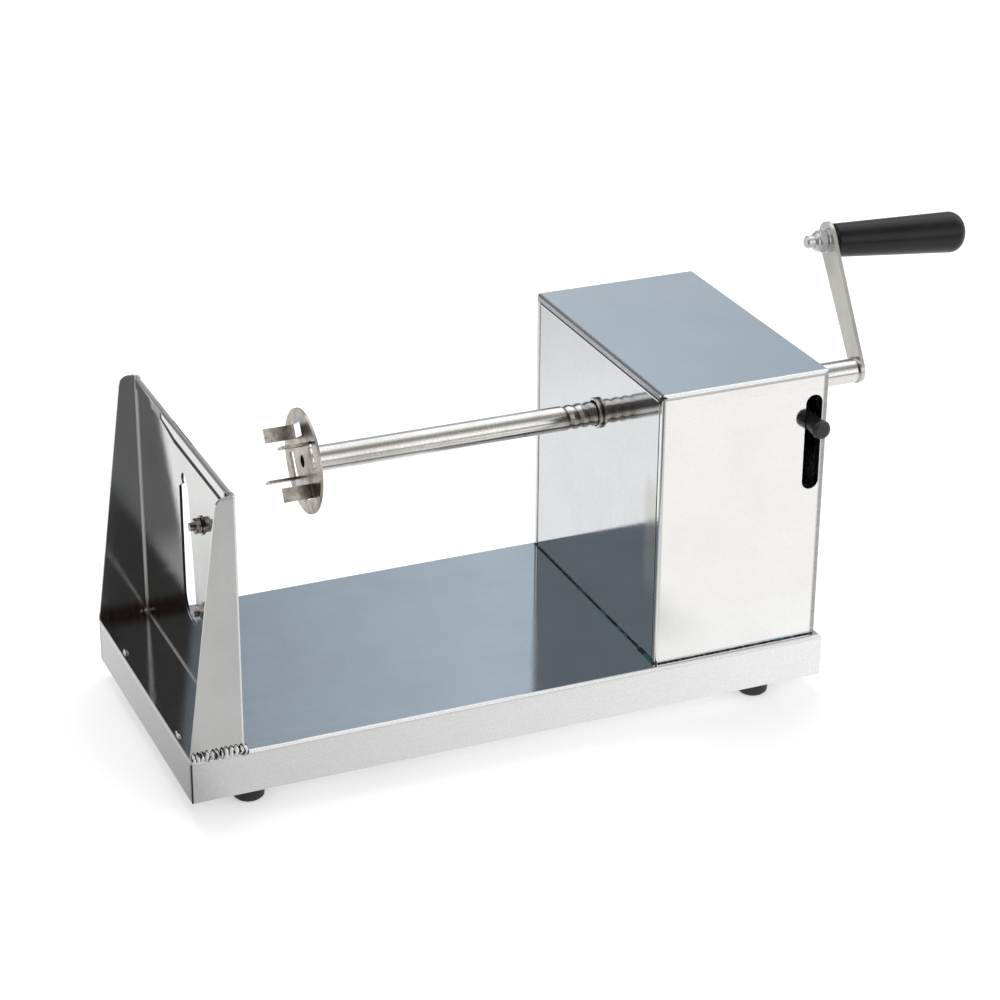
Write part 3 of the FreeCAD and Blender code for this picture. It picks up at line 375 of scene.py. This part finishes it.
# Tube: a brown tint on its lower half where it runs into the housing, which is grime and painted shade.
tube_zones = [
    ([("X", 0.0385, 0.0425), ("X", 0.135, 0.125), ("Z", axle + 0.0042, axle + 0.0012)],
     (0.46, 0.42, 0.365), 0.08, 1.0, 0.55),
]
print("tray top", round(tray_top, 4), "stand face", round(face, 4), "axle height", round(axle, 4))
print("cover", [round(v, 4) for v in cover_low], [round(v, 4) for v in cover_high])
print("panel", [round(v, 4) for v in panel_low], [round(v, 4) for v in panel_high])
print("bush", [round(v, 4) for v in bush_low], [round(v, 4) for v in bush_high])

# %% [markdown]
# ## The finishes
# Each finish names its polished colour, its dull colour, and how rough it is clean and touched.
# %% Mix the metal finishes
finish = {
    "tray": bare_metal("tray_sheet", (0.77, 0.768, 0.78), (0.72, 0.718, 0.73), 0.035, 0.085,
                       zones=tray_zones)[0],
    "stand": bare_metal("stand_sheet", (0.72, 0.715, 0.71), (0.67, 0.665, 0.66), 0.04, 0.10,
                        stretch=(2500, 2500, 60), grain=0.14, zones=stand_zones)[0],
    "cover": bare_metal("cover_sheet", (0.94, 0.94, 0.93), (0.90, 0.90, 0.89), 0.05, 0.12,
                        stretch=(60, 2500, 2500), grain=0.14, zones=cover_zones)[0],
    "panel": bare_metal("panel_sheet", (0.79, 0.80, 0.81), (0.75, 0.76, 0.77), 0.03, 0.07,
                        stretch=(2500, 2500, 60), zones=panel_zones)[0],
    "tube": bare_metal("tube_steel", (0.90, 0.89, 0.87), (0.80, 0.785, 0.755), 0.10, 0.17,
                       stretch=(50, 1800, 1800), bump=0.12, speck_amount=0.16, speck_size=700.0,
                       grain=0.5, zones=tube_zones),
    "disc": bare_metal("heat_browned_steel", (0.78, 0.735, 0.665), (0.52, 0.465, 0.40), 0.22, 0.38,
                       stretch=(900, 900, 900), bump=0.25, smudge_size=170.0, speck_amount=0.6,
                       speck_size=650.0, speck_colour=(0.11, 0.08, 0.055), grain=1.0,
                       zones=disc_zones)[0],
    "arm": bare_metal("arm_bar", (0.76, 0.75, 0.705), (0.65, 0.635, 0.60), 0.26, 0.38,
                      stretch=(1200, 60, 60), bump=0.1, speck_amount=0.15, metal=0.75)[0],
    # The release lever's near-black colour is painted shade for the dark inside of the housing.
    "lever": bare_metal("lever_bar_painted_shade", (0.10, 0.10, 0.10), (0.06, 0.06, 0.06), 0.35, 0.5)[0],
    "zinc": bare_metal("zinc_plate", (0.90, 0.91, 0.91), (0.74, 0.75, 0.75), 0.16, 0.30,
                       stretch=(1500, 1500, 1500), bump=0.1, metal=0.8)[0],
    "bronze": bare_metal("browned_fastener", (0.74, 0.70, 0.66), (0.10, 0.075, 0.06), 0.10, 0.26,
                         stretch=(1200, 1200, 1200), smudge_size=520.0, bump=0.3, speck_amount=0.7,
                         speck_colour=(0.04, 0.03, 0.028))[0],
    "blade": bare_metal("hardened_blade", (0.70, 0.71, 0.72), (0.58, 0.59, 0.60), 0.14, 0.26,
                        stretch=(2600, 2600, 90))[0],
    # The bush's dark tone is oil and painted shade.
    "bush": bare_metal("oiled_bush_painted_shade", (0.30, 0.28, 0.25), (0.14, 0.13, 0.115), 0.18, 0.32,
                       stretch=(4000, 300, 300), speck_amount=0.4, zones=bush_zones)[0],
    "weld": bare_metal("weld_metal", (0.62, 0.60, 0.57), (0.36, 0.34, 0.32), 0.16, 0.34,
                       stretch=(1500, 1500, 1500), bump=0.15, speck_amount=0.3)[0],
}
print("metals:", sorted(finish))

# %% [markdown]
# The feed groove of the tube holds dark grease, and the ridges between its turns are polished by
# the bush they run through. Both follow the distance from the axle, which is worked out from the
# place on the piece, so no separate piece is needed and the grease turns with the tube. Rolling
# rounds the shoulders of the groove so gently that its walls hardly catch the light, so there the
# shading leans toward the straight outward direction of a smooth tube.
# %% Grease in the feed groove
finish["tube"], tree, shader = finish["tube"]
parts = put(tree, "ShaderNodeSeparateXYZ", {0: object_place(tree)}).outputs
height = maths(tree, "SUBTRACT", parts["Z"], axle)
radius = maths(tree, "SQRT", maths(tree, "ADD", maths(tree, "MULTIPLY", parts["Y"], parts["Y"]),
                                   maths(tree, "MULTIPLY", height, height)))
tube_radius = (tube_high.z - tube_low.z) / 2
grooved = zone(tree, object_place(tree), [("X", 0.0385, 0.0390), ("X", 0.064, 0.0635)])
grease = spread(tree, radius, tube_radius - 0.00030, tube_radius - 0.00008, 0.8, 0.0)
greasy = maths(tree, "MULTIPLY", grease, spread(tree, noise(tree, object_place(tree), 900.0, 3.0),
                                               0.3, 0.6, 0.45, 0.9))
# Toward the underside the grease is made stronger, which is painted shade.
underside = spread(tree, height, 0.0035, 0.0, 0.35, 1.0)
clean = shader.inputs["Base Color"].links[0].from_socket
bed = blend(tree, maths(tree, "MULTIPLY", greasy, underside), clean, (0.26, 0.235, 0.19))
ridge = maths(tree, "MULTIPLY", spread(tree, radius, tube_radius - 0.00010, tube_radius - 0.00003),
              spread(tree, radius, tube_radius + 0.00002, tube_radius - 0.00002))
ridge = maths(tree, "MULTIPLY", maths(tree, "MULTIPLY", ridge, grooved), 0.35)
wire(tree, shader.inputs["Base Color"], blend(tree, ridge, bed, (0.90, 0.89, 0.86)))
outward = put(tree, "ShaderNodeVectorTransform", {
    0: put(tree, "ShaderNodeCombineXYZ", {0: 0.0, 1: parts["Y"], 2: height}).outputs[0]},
    vector_type="NORMAL", convert_from="OBJECT", convert_to="WORLD").outputs[0]
facing = put(tree, "ShaderNodeNewGeometry").outputs["Normal"]
softened = put(tree, "ShaderNodeMix", {"Factor": maths(tree, "MULTIPLY", grooved, 0.72),
                                      4: facing, 5: outward}, data_type="VECTOR").outputs[1]
wire(tree, shader.inputs["Normal"].links[0].from_node.inputs["Normal"],
     put(tree, "ShaderNodeVectorMath", {0: softened}, operation="NORMALIZE").outputs[0])
print("tube radius", round(tube_radius, 5))


# %% [markdown]
# ## Plastic and rubber
# The grip and the knob are moulded in black plastic with a very fine grain that spreads the
# light into one soft stripe. The feet are matt rubber, a little paler in patches. Both need a
# bump that is much finer than the piece, so it reads as texture, not shape.
# %% Moulded black plastic and rubber
def moulded(name, colour, worn, rough, grain_scale, bump, shine=0.5):
    """Grained plastic or rubber that is a little paler where it is rubbed."""
    material, tree, shader = new_material(name)
    place = object_place(tree)
    mark = use_group(tree, marks, {"Vector": place, "Size": 70.0})
    grain = noise(tree, place, grain_scale, 2.0)
    shader.inputs["Specular IOR Level"].default_value = shine
    tone = blend(tree, maths(tree, "MULTIPLY", mark["Smudge"], 0.6), colour, worn)
    wire(tree, shader.inputs["Base Color"], tone)
    wire(tree, shader.inputs["Roughness"], spread(tree, mark["Smudge"], 0.0, 1.0, rough, rough + 0.08))
    wire(tree, shader.inputs["Normal"], put(tree, "ShaderNodeBump", {
        "Height": grain, "Strength": bump, "Distance": 0.0002}).outputs[0])
    return material


finish["grip"] = moulded("grip_plastic", (0.008, 0.008, 0.010), (0.016, 0.015, 0.017), 0.24, 2600.0, 0.10,
                         shine=0.32)
finish["knob"] = moulded("knob_plastic", (0.022, 0.021, 0.022), (0.040, 0.038, 0.038), 0.24, 2200.0, 0.25)
finish["rubber"] = moulded("foot_rubber", (0.018, 0.018, 0.018), (0.04, 0.04, 0.04), 0.62, 1800.0, 0.3)
print("mouldings: grip, knob, rubber")

# %% [markdown]
# ## Which piece wears which finish
# The solids come in plain colours. Each keeps its own slot and gets the material that its real
# counterpart is made of.
# %% Dress the solids
worn_by = {
    "tray": ["base_tray"],
    "stand": ["blade_stand"],
    "cover": ["housing_cover"],
    "panel": ["front_panel", "rear_panel"],
    "tube": ["spindle_tube"],
    "disc": ["holder_disc", "disc_weld"],
    "arm": ["crank_arm"],
    "lever": ["release_lever"],
    "zinc": ["foot_screws", "foot_nuts", "lever_pivot_bolt", "lever_spacer", "lever_washer",
             "lever_pivot_nut", "spring_hanger", "lever_spring", "grip_bolt", "grip_nut", "nut_washer",
             "grip_washer", "front_bush_clip", "knob_screw"],
    "bronze": ["blade_screws", "blade_washers", "blade_nuts"],
    "blade": ["slicing_blade"],
    "bush": ["front_bush", "rear_bush"],
    "weld": ["stand_welds", "arm_weld"],
    "rubber": ["foot_front_near", "foot_front_far", "foot_rear_near", "foot_rear_far"],
    "grip": ["crank_grip"],
    "knob": ["lever_knob"],
}
for look, names in worn_by.items():
    for name in names:
        nodes[name].data.materials.clear()
        nodes[name].data.materials.append(finish[look])
left_out = sorted(set(nodes) - {n for names in worn_by.values() for n in names})
print("dressed:", len(nodes) - len(left_out), "left plain:", left_out)

# %% [markdown]
# ## The weld beads at the stand's feet
# Each side wall of the stand is joined to the tray by a short hand-laid bead: a row of shallow
# coins of metal, each lapping over the last. A plain rod with a bump would lack the scalloped
# edge. So one coin is shaped from a sphere, copied along the joint with small changes, and the
# row is melted into one skin by a voxel remesh, as the real metal ran together.
# %% Shape one coin and lay the beads
weld_low, weld_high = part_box("stand_welds")
side_wall = 0.058
chance = random.Random(7)


def alone(obj):
    """Makes one object the only selected and active one."""
    bpy.ops.object.select_all(action="DESELECT")
    obj.select_set(True)
    bpy.context.view_layer.objects.active = obj


def coin(name, centre, size, lean):
    """A flattened ball, leaned about the upright axis, with its place in its mesh."""
    bpy.ops.object.select_all(action="DESELECT")
    bpy.ops.mesh.primitive_uv_sphere_add(segments=24, ring_count=14, radius=1.0)
    ball = bpy.context.object
    ball.name = name
    bpy.ops.object.mode_set(mode="EDIT")
    bpy.ops.mesh.select_all(action="SELECT")
    bpy.ops.transform.resize(value=size)
    bpy.ops.transform.rotate(value=lean, orient_axis="Z", center_override=(0, 0, 0))
    bpy.ops.transform.translate(value=centre)
    bpy.ops.object.mode_set(mode="OBJECT")
    return ball


def melt(coins, name, voxel):
    """Joins the coins and runs them together in one skin."""
    bpy.ops.object.select_all(action="DESELECT")
    for one in coins:
        one.select_set(True)
    bpy.context.view_layer.objects.active = coins[0]
    bpy.ops.object.join()
    bead = bpy.context.object
    bead.name = bead.data.name = name
    remesh = bead.modifiers.new("melt", "REMESH")
    remesh.mode = "VOXEL"
    remesh.voxel_size = voxel
    bpy.ops.object.modifier_apply(modifier=remesh.name)
    bpy.ops.object.shade_smooth()
    return bead


bead_start, bead_end = weld_low.x + 0.0012, -0.1066
bead_middle = tray_top + 0.0015
coin_count = 11
coin_pitch = (bead_end - bead_start) / (coin_count - 1)

# %% [markdown]
# Between the coins the creases are painted black, which stands for soot and painted shade, and
# the bead's near-white colour is a painted highlight on the crests. The black follows the creases:
# bands across the bead that bow forward in the middle of its height.
# %% The finish of the beads
# The near-white colour of the bead is a painted highlight.
weld_look, tree, shader = bare_metal("bead_metal", (0.97, 0.97, 0.96), (0.86, 0.85, 0.83), 0.10, 0.22,
                                     stretch=(900, 900, 900), bump=0.12, metal=0.25, grain=0.1)
place = object_place(tree)
parts = put(tree, "ShaderNodeSeparateXYZ", {0: place}).outputs
height = maths(tree, "DIVIDE", maths(tree, "SUBTRACT", parts["Z"], bead_middle), 0.0025)
bow = maths(tree, "MULTIPLY", maths(tree, "MULTIPLY", height, height), 0.0013)
along = maths(tree, "DIVIDE", maths(tree, "ADD", maths(tree, "SUBTRACT", parts["X"], bead_start), bow),
              coin_pitch)
wobble = maths(tree, "MULTIPLY", noise(tree, place, 170.0, 2.0), 2.0)
step = maths(tree, "FRACT", maths(tree, "ADD", along, wobble))
width = spread(tree, noise(tree, place, 330.0, 2.0), 0.38, 0.62, 0.06, 0.42)
away = maths(tree, "ABSOLUTE", maths(tree, "SUBTRACT", step, 0.5))
# The black bands in the creases are soot and painted shade.
soot_and_painted_shade = spread(tree, maths(tree, "SUBTRACT", away, width), -0.03, 0.05, 1.0, 0.0)
crest = shader.inputs["Base Color"].links[0].from_socket
wire(tree, shader.inputs["Base Color"], blend(tree, maths(tree, "MULTIPLY", soot_and_painted_shade, 0.97), crest,
                                              (0.012, 0.011, 0.010)))
print("soot bands every", round(coin_pitch * 1000, 2), "mm")

# %% Lay and melt the coins
coins = []
wall_face = side_wall + 0.0003
for sign in (-1, 1):
    for i in range(coin_count):
        along = bead_start + coin_pitch * i + chance.uniform(-0.0003, 0.0003)
        tall = 0.00245 + chance.uniform(-0.0004, 0.0001)
        deep = 0.00105 + chance.uniform(-0.00025, 0.00005)
        coins.append(coin("coin", (max(along, bead_start), sign * wall_face, bead_middle),
                          (0.00105 + chance.uniform(-0.0002, 0.0001), deep, tall),
                          sign * chance.uniform(-0.25, 0.25)))
    coins.append(coin("drop", (bead_end + 0.0012, sign * wall_face, bead_middle - 0.0002),
                      (0.0013, 0.00115, 0.0025), 0.0))
    coins.append(coin("drop", (bead_end + 0.0021, sign * wall_face, bead_middle - 0.0014),
                      (0.0009, 0.0010, 0.0010), 0.0))
tack_places, tack_shifts = (-0.039, 0.0276), (-0.0012, 0.0, 0.0011)
for y in tack_places:
    for shift in tack_shifts:
        size = 0.0009 + chance.uniform(-0.0002, 0.0001)
        coins.append(coin("tack", (-0.1238 + chance.uniform(0.0, 0.0004), y + shift, tray_top + 0.0010),
                          (size, size * 1.2, size), 0.0))
coins.append(coin("spatter", (face - 0.0006, 0.0562, tray_top + 0.0016), (0.0005, 0.0005, 0.0005), 0.0))
bead_voxel = 0.00014
beads = melt(coins, "stand_weld_beads", bead_voxel)
beads.data.materials.clear()
beads.data.materials.append(weld_look)
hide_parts("stand_welds")
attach(beads, "frame")
print("beads:", len(beads.data.polygons), "faces, from", [round(v, 4) for v in weld_low],
      "to", [round(v, 4) for v in weld_high])

# %% [markdown]
# ## The seam at the housing's foot
# Where the housing meets the tray, a thin black line of sealing compound fills the joint. It is
# uneven, because it is pressed in by hand, and it has a few blue-green flecks. A flat strip is
# cut into short steps, given a little thickness, and its points are moved by chance. A strip of the
# same black also fills the open corner gap where the folds of the cover meet, as painted shade.
# %% Lay the sealing line and the painted shade in the corner gap
compound_and_gap_shade, tree, shader = new_material("sealing_compound_and_gap_shade")
place = object_place(tree)
fleck = maths(tree, "MULTIPLY", spread(tree, noise(tree, place, 260.0, 3.0), 0.53, 0.59),
              between(tree, place, "Z", 0.05, 0.04))
wire(tree, shader.inputs["Base Color"], blend(tree, fleck, (0.008, 0.008, 0.010), (0.02, 0.13, 0.16)))
wire(tree, shader.inputs["Roughness"], spread(tree, fleck, 0.0, 1.0, 0.5, 0.35))
wire(tree, shader.inputs["Normal"], put(tree, "ShaderNodeBump", {
    "Height": noise(tree, place, 1500.0, 3.0), "Strength": 0.4, "Distance": 0.0002}).outputs[0])


def dark_strip(name, start, end, width, thick, steps, seed, uneven=0.00012):
    """An uneven dark strip from one point to another, lying flat or, up a corner, on end."""
    start, end = Vector(start), Vector(end)
    span = end - start
    length, upright = span.length, abs(span.z) > 1e-6
    bpy.ops.object.select_all(action="DESELECT")
    bpy.ops.mesh.primitive_grid_add(x_subdivisions=steps, y_subdivisions=2, size=1.0)
    strip = bpy.context.object
    strip.name = strip.data.name = name
    bpy.ops.object.mode_set(mode="EDIT")
    bpy.ops.mesh.select_all(action="SELECT")
    bpy.ops.transform.resize(value=(length, width, 1.0))
    bpy.ops.transform.vertex_random(offset=uneven, seed=seed)
    if upright:
        bpy.ops.transform.rotate(value=math.pi / 2, orient_axis="Y", center_override=(0, 0, 0))
        bpy.ops.transform.rotate(value=math.atan2(span.y, span.z), orient_axis="X",
                                 center_override=(0, 0, 0))
        lift = Vector((-thick, 0, 0))
    else:
        bpy.ops.transform.rotate(value=-math.atan2(span.y, span.x), orient_axis="Z",
                                 center_override=(0, 0, 0))
        lift = Vector((0, 0, thick))
    bpy.ops.transform.translate(value=(start + end) / 2 + lift)
    bpy.ops.object.mode_set(mode="OBJECT")
    wall = strip.modifiers.new("thickness", "SOLIDIFY")
    wall.thickness = thick
    wall.offset = 0 if upright else -1
    bpy.ops.object.modifier_apply(modifier=wall.name)
    alone(strip)
    bpy.ops.object.mode_set(mode="EDIT")
    bpy.ops.mesh.select_all(action="SELECT")
    bpy.ops.mesh.normals_make_consistent(inside=False)
    bpy.ops.object.mode_set(mode="OBJECT")
    bpy.ops.object.shade_smooth()
    strip.data.materials.append(compound_and_gap_shade)
    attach(strip, "frame")
    return strip


seams = [
    dark_strip("front_seam", (cover_low.x - 0.0001, cover_high.y - 0.001, tray_top),
                 (cover_low.x - 0.0001, cover_low.y + 0.012, tray_top), 0.0005, 0.0002, 90, 3, 0.00016),
    dark_strip("front_seam_end", (cover_low.x - 0.0002, cover_low.y + 0.014, tray_top),
                 (cover_low.x - 0.0002, cover_low.y + 0.0003, tray_top), 0.0010, 0.0003, 12, 4),
    dark_strip("near_seam", (cover_low.x + 0.001, cover_low.y, tray_top),
                 (cover_high.x - 0.001, cover_low.y, tray_top), 0.0008, 0.0003, 60, 5),
    # The strip in the corner gap is painted shade, not compound.
    dark_strip("corner_gap_painted_shade", (cover_low.x - 0.0001, cover_low.y + 0.0037, cover_high.z - 0.0037),
                 (cover_low.x - 0.0001, cover_low.y + 0.0001, cover_high.z - 0.0001),
                 0.0015, 0.0001, 6, 8, 0.00004),
]
print("seams:", [(s.name, len(s.data.polygons)) for s in seams])

# %% [markdown]
# ## The rolled hem of the stand
# The upright of the stand is hemmed: its top edge is folded over toward the front, so that no
# hand meets a raw edge. The fold isn't pressed flat: its lower lip stands off the face, and toward
# the far side it closes. The dark line below the fold is painted shade on the lower lip, and the
# crest is painted a duller grey, also as painted shade. A strip is cut into rows, each row is moved
# to its place in the profile, and the last columns are shrunk toward the top edge.
# %% Shape the hem
hem_start, hem_stop, hem_drop = -0.0535, 0.0210, 0.0056
hem_shape = [(0.0, 0.0), (0.06, 0.00022), (0.14, 0.0003), (0.5, 0.0003), (0.84, 0.0003), (0.93, 0.0001),
             (1.0, -0.0009)]
row_count, column_count = len(hem_shape) - 1, 40
hem_half = (hem_stop - hem_start) / 2
bpy.ops.object.select_all(action="DESELECT")
bpy.ops.mesh.primitive_grid_add(x_subdivisions=column_count, y_subdivisions=row_count, size=1.0)
hem = bpy.context.object
hem.name = hem.data.name = "stand_hem"
bpy.ops.object.mode_set(mode="EDIT")
bpy.ops.mesh.select_all(action="SELECT")
bpy.ops.transform.resize(value=(2 * hem_half, hem_drop, 1.0))
bpy.ops.transform.rotate(value=-math.pi / 2, orient_axis="Z", center_override=(0, 0, 0))
bpy.ops.transform.rotate(value=-math.pi / 2, orient_axis="Y", center_override=(0, 0, 0))
bpy.ops.object.mode_set(mode="OBJECT")
hem_clearance, hem_below_top = 0.00005, 0.0003
hem_top = Vector((face - sheet - hem_clearance, 0, stand_high.z - hem_below_top))


def take_where(obj, test):
    """Selects the points of a mesh that pass a test, and leaves edit mode on."""
    alone(obj)
    bpy.ops.object.mode_set(mode="EDIT")
    bpy.ops.mesh.select_mode(type="VERT")
    bpy.ops.mesh.select_all(action="DESELECT")
    bpy.ops.object.mode_set(mode="OBJECT")
    for vertex in obj.data.vertices:
        vertex.select = test(vertex.co)
    bpy.ops.object.mode_set(mode="EDIT")


for row, (down, out) in enumerate(hem_shape):
    height = hem_drop * (0.5 - row / row_count)
    take_where(hem, lambda co: abs(co.z - height) < hem_drop / row_count / 3)
    bpy.ops.transform.translate(value=(-out, 0, hem_drop * (0.5 - down) - height))
    bpy.ops.object.mode_set(mode="OBJECT")
for column in range(column_count + 1):
    along = hem_half * (2 * column / column_count - 1)
    open_part = min(1.0, 0.45 + (hem_half - along) / 0.030)
    take_where(hem, lambda co: abs(co.y - along) < hem_half / column_count / 2)
    bpy.ops.transform.resize(value=(1, 1, open_part), center_override=(0, 0, hem_drop / 2))
    bpy.ops.object.mode_set(mode="OBJECT")
take_where(hem, lambda co: True)
bpy.ops.transform.translate(value=hem_top + Vector((0, (hem_start + hem_stop) / 2, -hem_drop / 2)))
bpy.ops.object.mode_set(mode="OBJECT")
wall = hem.modifiers.new("thickness", "SOLIDIFY")
lip_thickness = 0.0002
wall.thickness = lip_thickness
wall.offset = -1
bpy.ops.object.modifier_apply(modifier=wall.name)
take_where(hem, lambda co: True)
bpy.ops.mesh.normals_make_consistent(inside=False)
bpy.ops.object.mode_set(mode="OBJECT")
bpy.ops.object.shade_smooth()
hem_look, tree, shader = bare_metal("hem_sheet", (0.80, 0.795, 0.79), (0.74, 0.735, 0.73), 0.05, 0.11,
                                    stretch=(2500, 60, 2500))
across = put(tree, "ShaderNodeSeparateXYZ", {
    0: put(tree, "ShaderNodeTexCoord").outputs["UV"]}).outputs["Y"]
# The crest is painted a duller grey and less metallic, and the lower lip black: both painted shade.
crest = spread(tree, across, 0.84, 0.92)
shade = spread(tree, across, 0.30, 0.20)
flat = shader.inputs["Base Color"].links[0].from_socket
wire(tree, shader.inputs["Base Color"], blend(tree, shade, blend(tree, crest, flat, (0.50, 0.48, 0.465)),
                                              (0.02, 0.02, 0.02)))
wire(tree, shader.inputs["Metallic"], maths(tree, "SUBTRACT", 1.0, maths(tree, "MULTIPLY", crest, 0.45)))
hem.data.materials.append(hem_look)
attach(hem, "frame")
print("hem:", len(hem.data.polygons), "faces")

# %% [markdown]
# ## Table, room and lamps
# Bright metal shows the room more than its own colour, so the room is designed first. Seen from
# the metal, a wide white panel hangs overhead, a second one stands behind and to the right of the
# camera, the far wall is a cool grey, and the far left and the near left are dark. The room is
# painted by direction: an angle over the cutter, from the far side over the top to the near
# side, looks up a colour in one of two ramps, one for the right half and one for the left. A
# third ramp brightens the middle of the far wall. The ramps hold a few round greys each. Only
# mirrors see this room: everything else sees an even white light, and the camera sees white.
# %% The room, painted by direction
world = bpy.data.worlds.new("room")
bpy.context.scene.world = world
world.use_nodes = True
room = world.node_tree
room.nodes.clear()
direction = put(room, "ShaderNodeTexCoord").outputs["Generated"]
parts = put(room, "ShaderNodeSeparateXYZ", {0: direction}).outputs
over = put(room, "ShaderNodeMath", {0: parts["Z"], 1: parts["Y"]}, operation="ARCTAN2").outputs[0]
degrees = maths(room, "MULTIPLY", over, 180 / math.pi)
right_half = ramp(room, degrees, 0, 180, [
    (0, grey(0.5, 0.1)), (35, grey(0.5, 0.1)), (45, grey(1.3)), (85, grey(1.3)), (110, grey(0.4)),
    (130, grey(0.3)), (160, grey(1.2)), (180, grey(1.2))])
left_half = ramp(room, degrees, 0, 180, [
    (0, grey(0.2, 0.15)), (35, grey(0.2, 0.15)), (50, grey(0.8)), (90, grey(0.8)), (110, grey(0.1)),
    (180, grey(0.05))])
far_wall = ramp(room, parts["X"], 0.2, 0.5, [
    (0.2, grey(0.3, 0.15)), (0.35, grey(0.6, 0.15)), (0.5, grey(0.4, 0.15))])
low_band = maths(room, "MULTIPLY", spread(room, degrees, 20, 25), spread(room, degrees, 37, 32))
right_half = blend(room, low_band, right_half, far_wall)
to_right = spread(room, parts["X"], -0.12, 0.08)
mirrored = put(room, "ShaderNodeBackground", {"Color": blend(room, to_right, left_half, right_half)})
even = put(room, "ShaderNodeBackground", {"Color": (1, 1, 1, 1), "Strength": 0.55})
white = put(room, "ShaderNodeBackground", {"Color": (1, 1, 1, 1), "Strength": 1.0})
path = put(room, "ShaderNodeLightPath").outputs
seen = put(room, "ShaderNodeMixShader", {0: path["Is Glossy Ray"], 1: even.outputs[0],
                                         2: mirrored.outputs[0]})
clear = maths(room, "MAXIMUM", path["Is Camera Ray"], path["Is Transmission Ray"])
shown = put(room, "ShaderNodeMixShader", {0: clear, 1: seen.outputs[0], 2: white.outputs[0]})
put(room, "ShaderNodeOutputWorld", {"Surface": shown.outputs[0]})
print("room painted")

# %% [markdown]
# The table is a plain pale sheet. It gives off a little light of its own to the camera, so it
# reads as white out to its edge, and it is still lit, so the soft shadow of the tray stays on it.
# Mirrors see a painted table instead, as they see a painted room: white paper that fades to the
# left, ends behind the cutter, and gives way to a dark floor at the near left corner. Each part
# is a gradient between two round greys, or one plain grey.
# %% The table
bpy.ops.object.select_all(action="DESELECT")
table_size = 12
bpy.ops.mesh.primitive_plane_add(size=table_size)
table = bpy.context.object
table.name = "table"
surface, tree, shader = new_material("white_table")
shader.inputs["Roughness"].default_value = 0.9
shader.inputs["Specular IOR Level"].default_value = 0.0
shader.inputs["Base Color"].default_value = (0.8, 0.8, 0.8, 1)
shader.inputs["Emission Color"].default_value = (1, 1, 1, 1)
path = put(tree, "ShaderNodeLightPath").outputs
own = maths(tree, "MAXIMUM", path["Is Camera Ray"], path["Is Transmission Ray"])
place = object_place(tree)
distance = put(tree, "ShaderNodeVectorMath", {0: place}, operation="LENGTH").outputs["Value"]
wire(tree, shader.inputs["Emission Strength"], maths(tree, "MULTIPLY", own, spread(
    tree, distance, 1.2, 3.0, 0.42, 1.0)))
parts = put(tree, "ShaderNodeSeparateXYZ", {0: place}).outputs
near_strip = ramp(tree, parts["X"], -0.14, 0.14, [(-0.14, grey(0.6)), (0.14, grey(1.0))])
floor_tone = ramp(tree, parts["Y"], -1.0, -0.1, [(-1.0, grey(0.4)), (-0.1, grey(0.7))])
near_floor = blend(tree, maths(tree, "MULTIPLY", between(tree, place, "X", 0.09, 0.11),
                               between(tree, place, "Y", -0.40, -0.34)), floor_tone, grey(0.97, -0.01))
left_strip = ramp(tree, parts["Y"], -0.08, 0.2, [(-0.08, grey(0.3)), (0.2, grey(1.0))])
far_tone = ramp(tree, parts["Y"], 0.2, 0.7, [(0.2, grey(1.0)), (0.7, grey(0.3))])
painted = blend(tree, between(tree, place, "Y", -0.13, -0.105), near_floor, near_strip)
painted = blend(tree, between(tree, place, "Y", -0.04, 0.06), painted, grey(0.96, 0.01))
painted = blend(tree, between(tree, place, "X", -0.105, -0.128), painted, left_strip)
painted = blend(tree, maths(tree, "MULTIPLY", between(tree, place, "Y", 0.24, 0.26),
                            between(tree, place, "X", -0.15, -0.10)), painted, far_tone)
corner = maths(tree, "MULTIPLY", between(tree, place, "X", -0.126, -0.134),
               between(tree, place, "Y", -0.035, -0.06))
painted = blend(tree, corner, painted, grey(0.19, 0.02))
mirrored = put(tree, "ShaderNodeEmission", {"Color": painted})
both = put(tree, "ShaderNodeMixShader", {0: path["Is Glossy Ray"], 1: shader.outputs[0],
                                         2: mirrored.outputs[0]})
wire(tree, tree.nodes["Material Output"].inputs["Surface"], both.outputs[0])
table.data.materials.append(surface)
print("table laid")

# %% [markdown]
# Two large soft lamps give the shadows and the modelling on the black parts: one above and behind
# the cutter, one behind the camera on the right, where the two white panels of the room are.
# Mirrors see the painted panels instead of the lamps, so their bands keep clean edges.
# %% The lamps
def soft_lamp(name, place, size, power):
    """A square lamp that faces the cutter."""
    data = bpy.data.lights.new(name, "AREA")
    data.size = size
    data.energy = power
    lamp = bpy.data.objects.new(name, data)
    bpy.context.scene.collection.objects.link(lamp)
    aim = looked_at - Vector(place)
    lamp.matrix_world = Matrix.Translation(place) @ aim.to_track_quat("-Z", "Y").to_matrix().to_4x4()
    lamp.visible_glossy = False
    return lamp


soft_lamp("lamp_above", (0.1, 0.45, 1.2), 0.9, 7.0)
soft_lamp("lamp_near", (0.45, -1.0, 0.7), 0.7, 3.5)
print("lamps lit")

# %% [markdown]
# The colours stay as they are written under the Standard view.
# %% Close the scene
bpy.context.scene.view_settings.view_transform = "Standard"
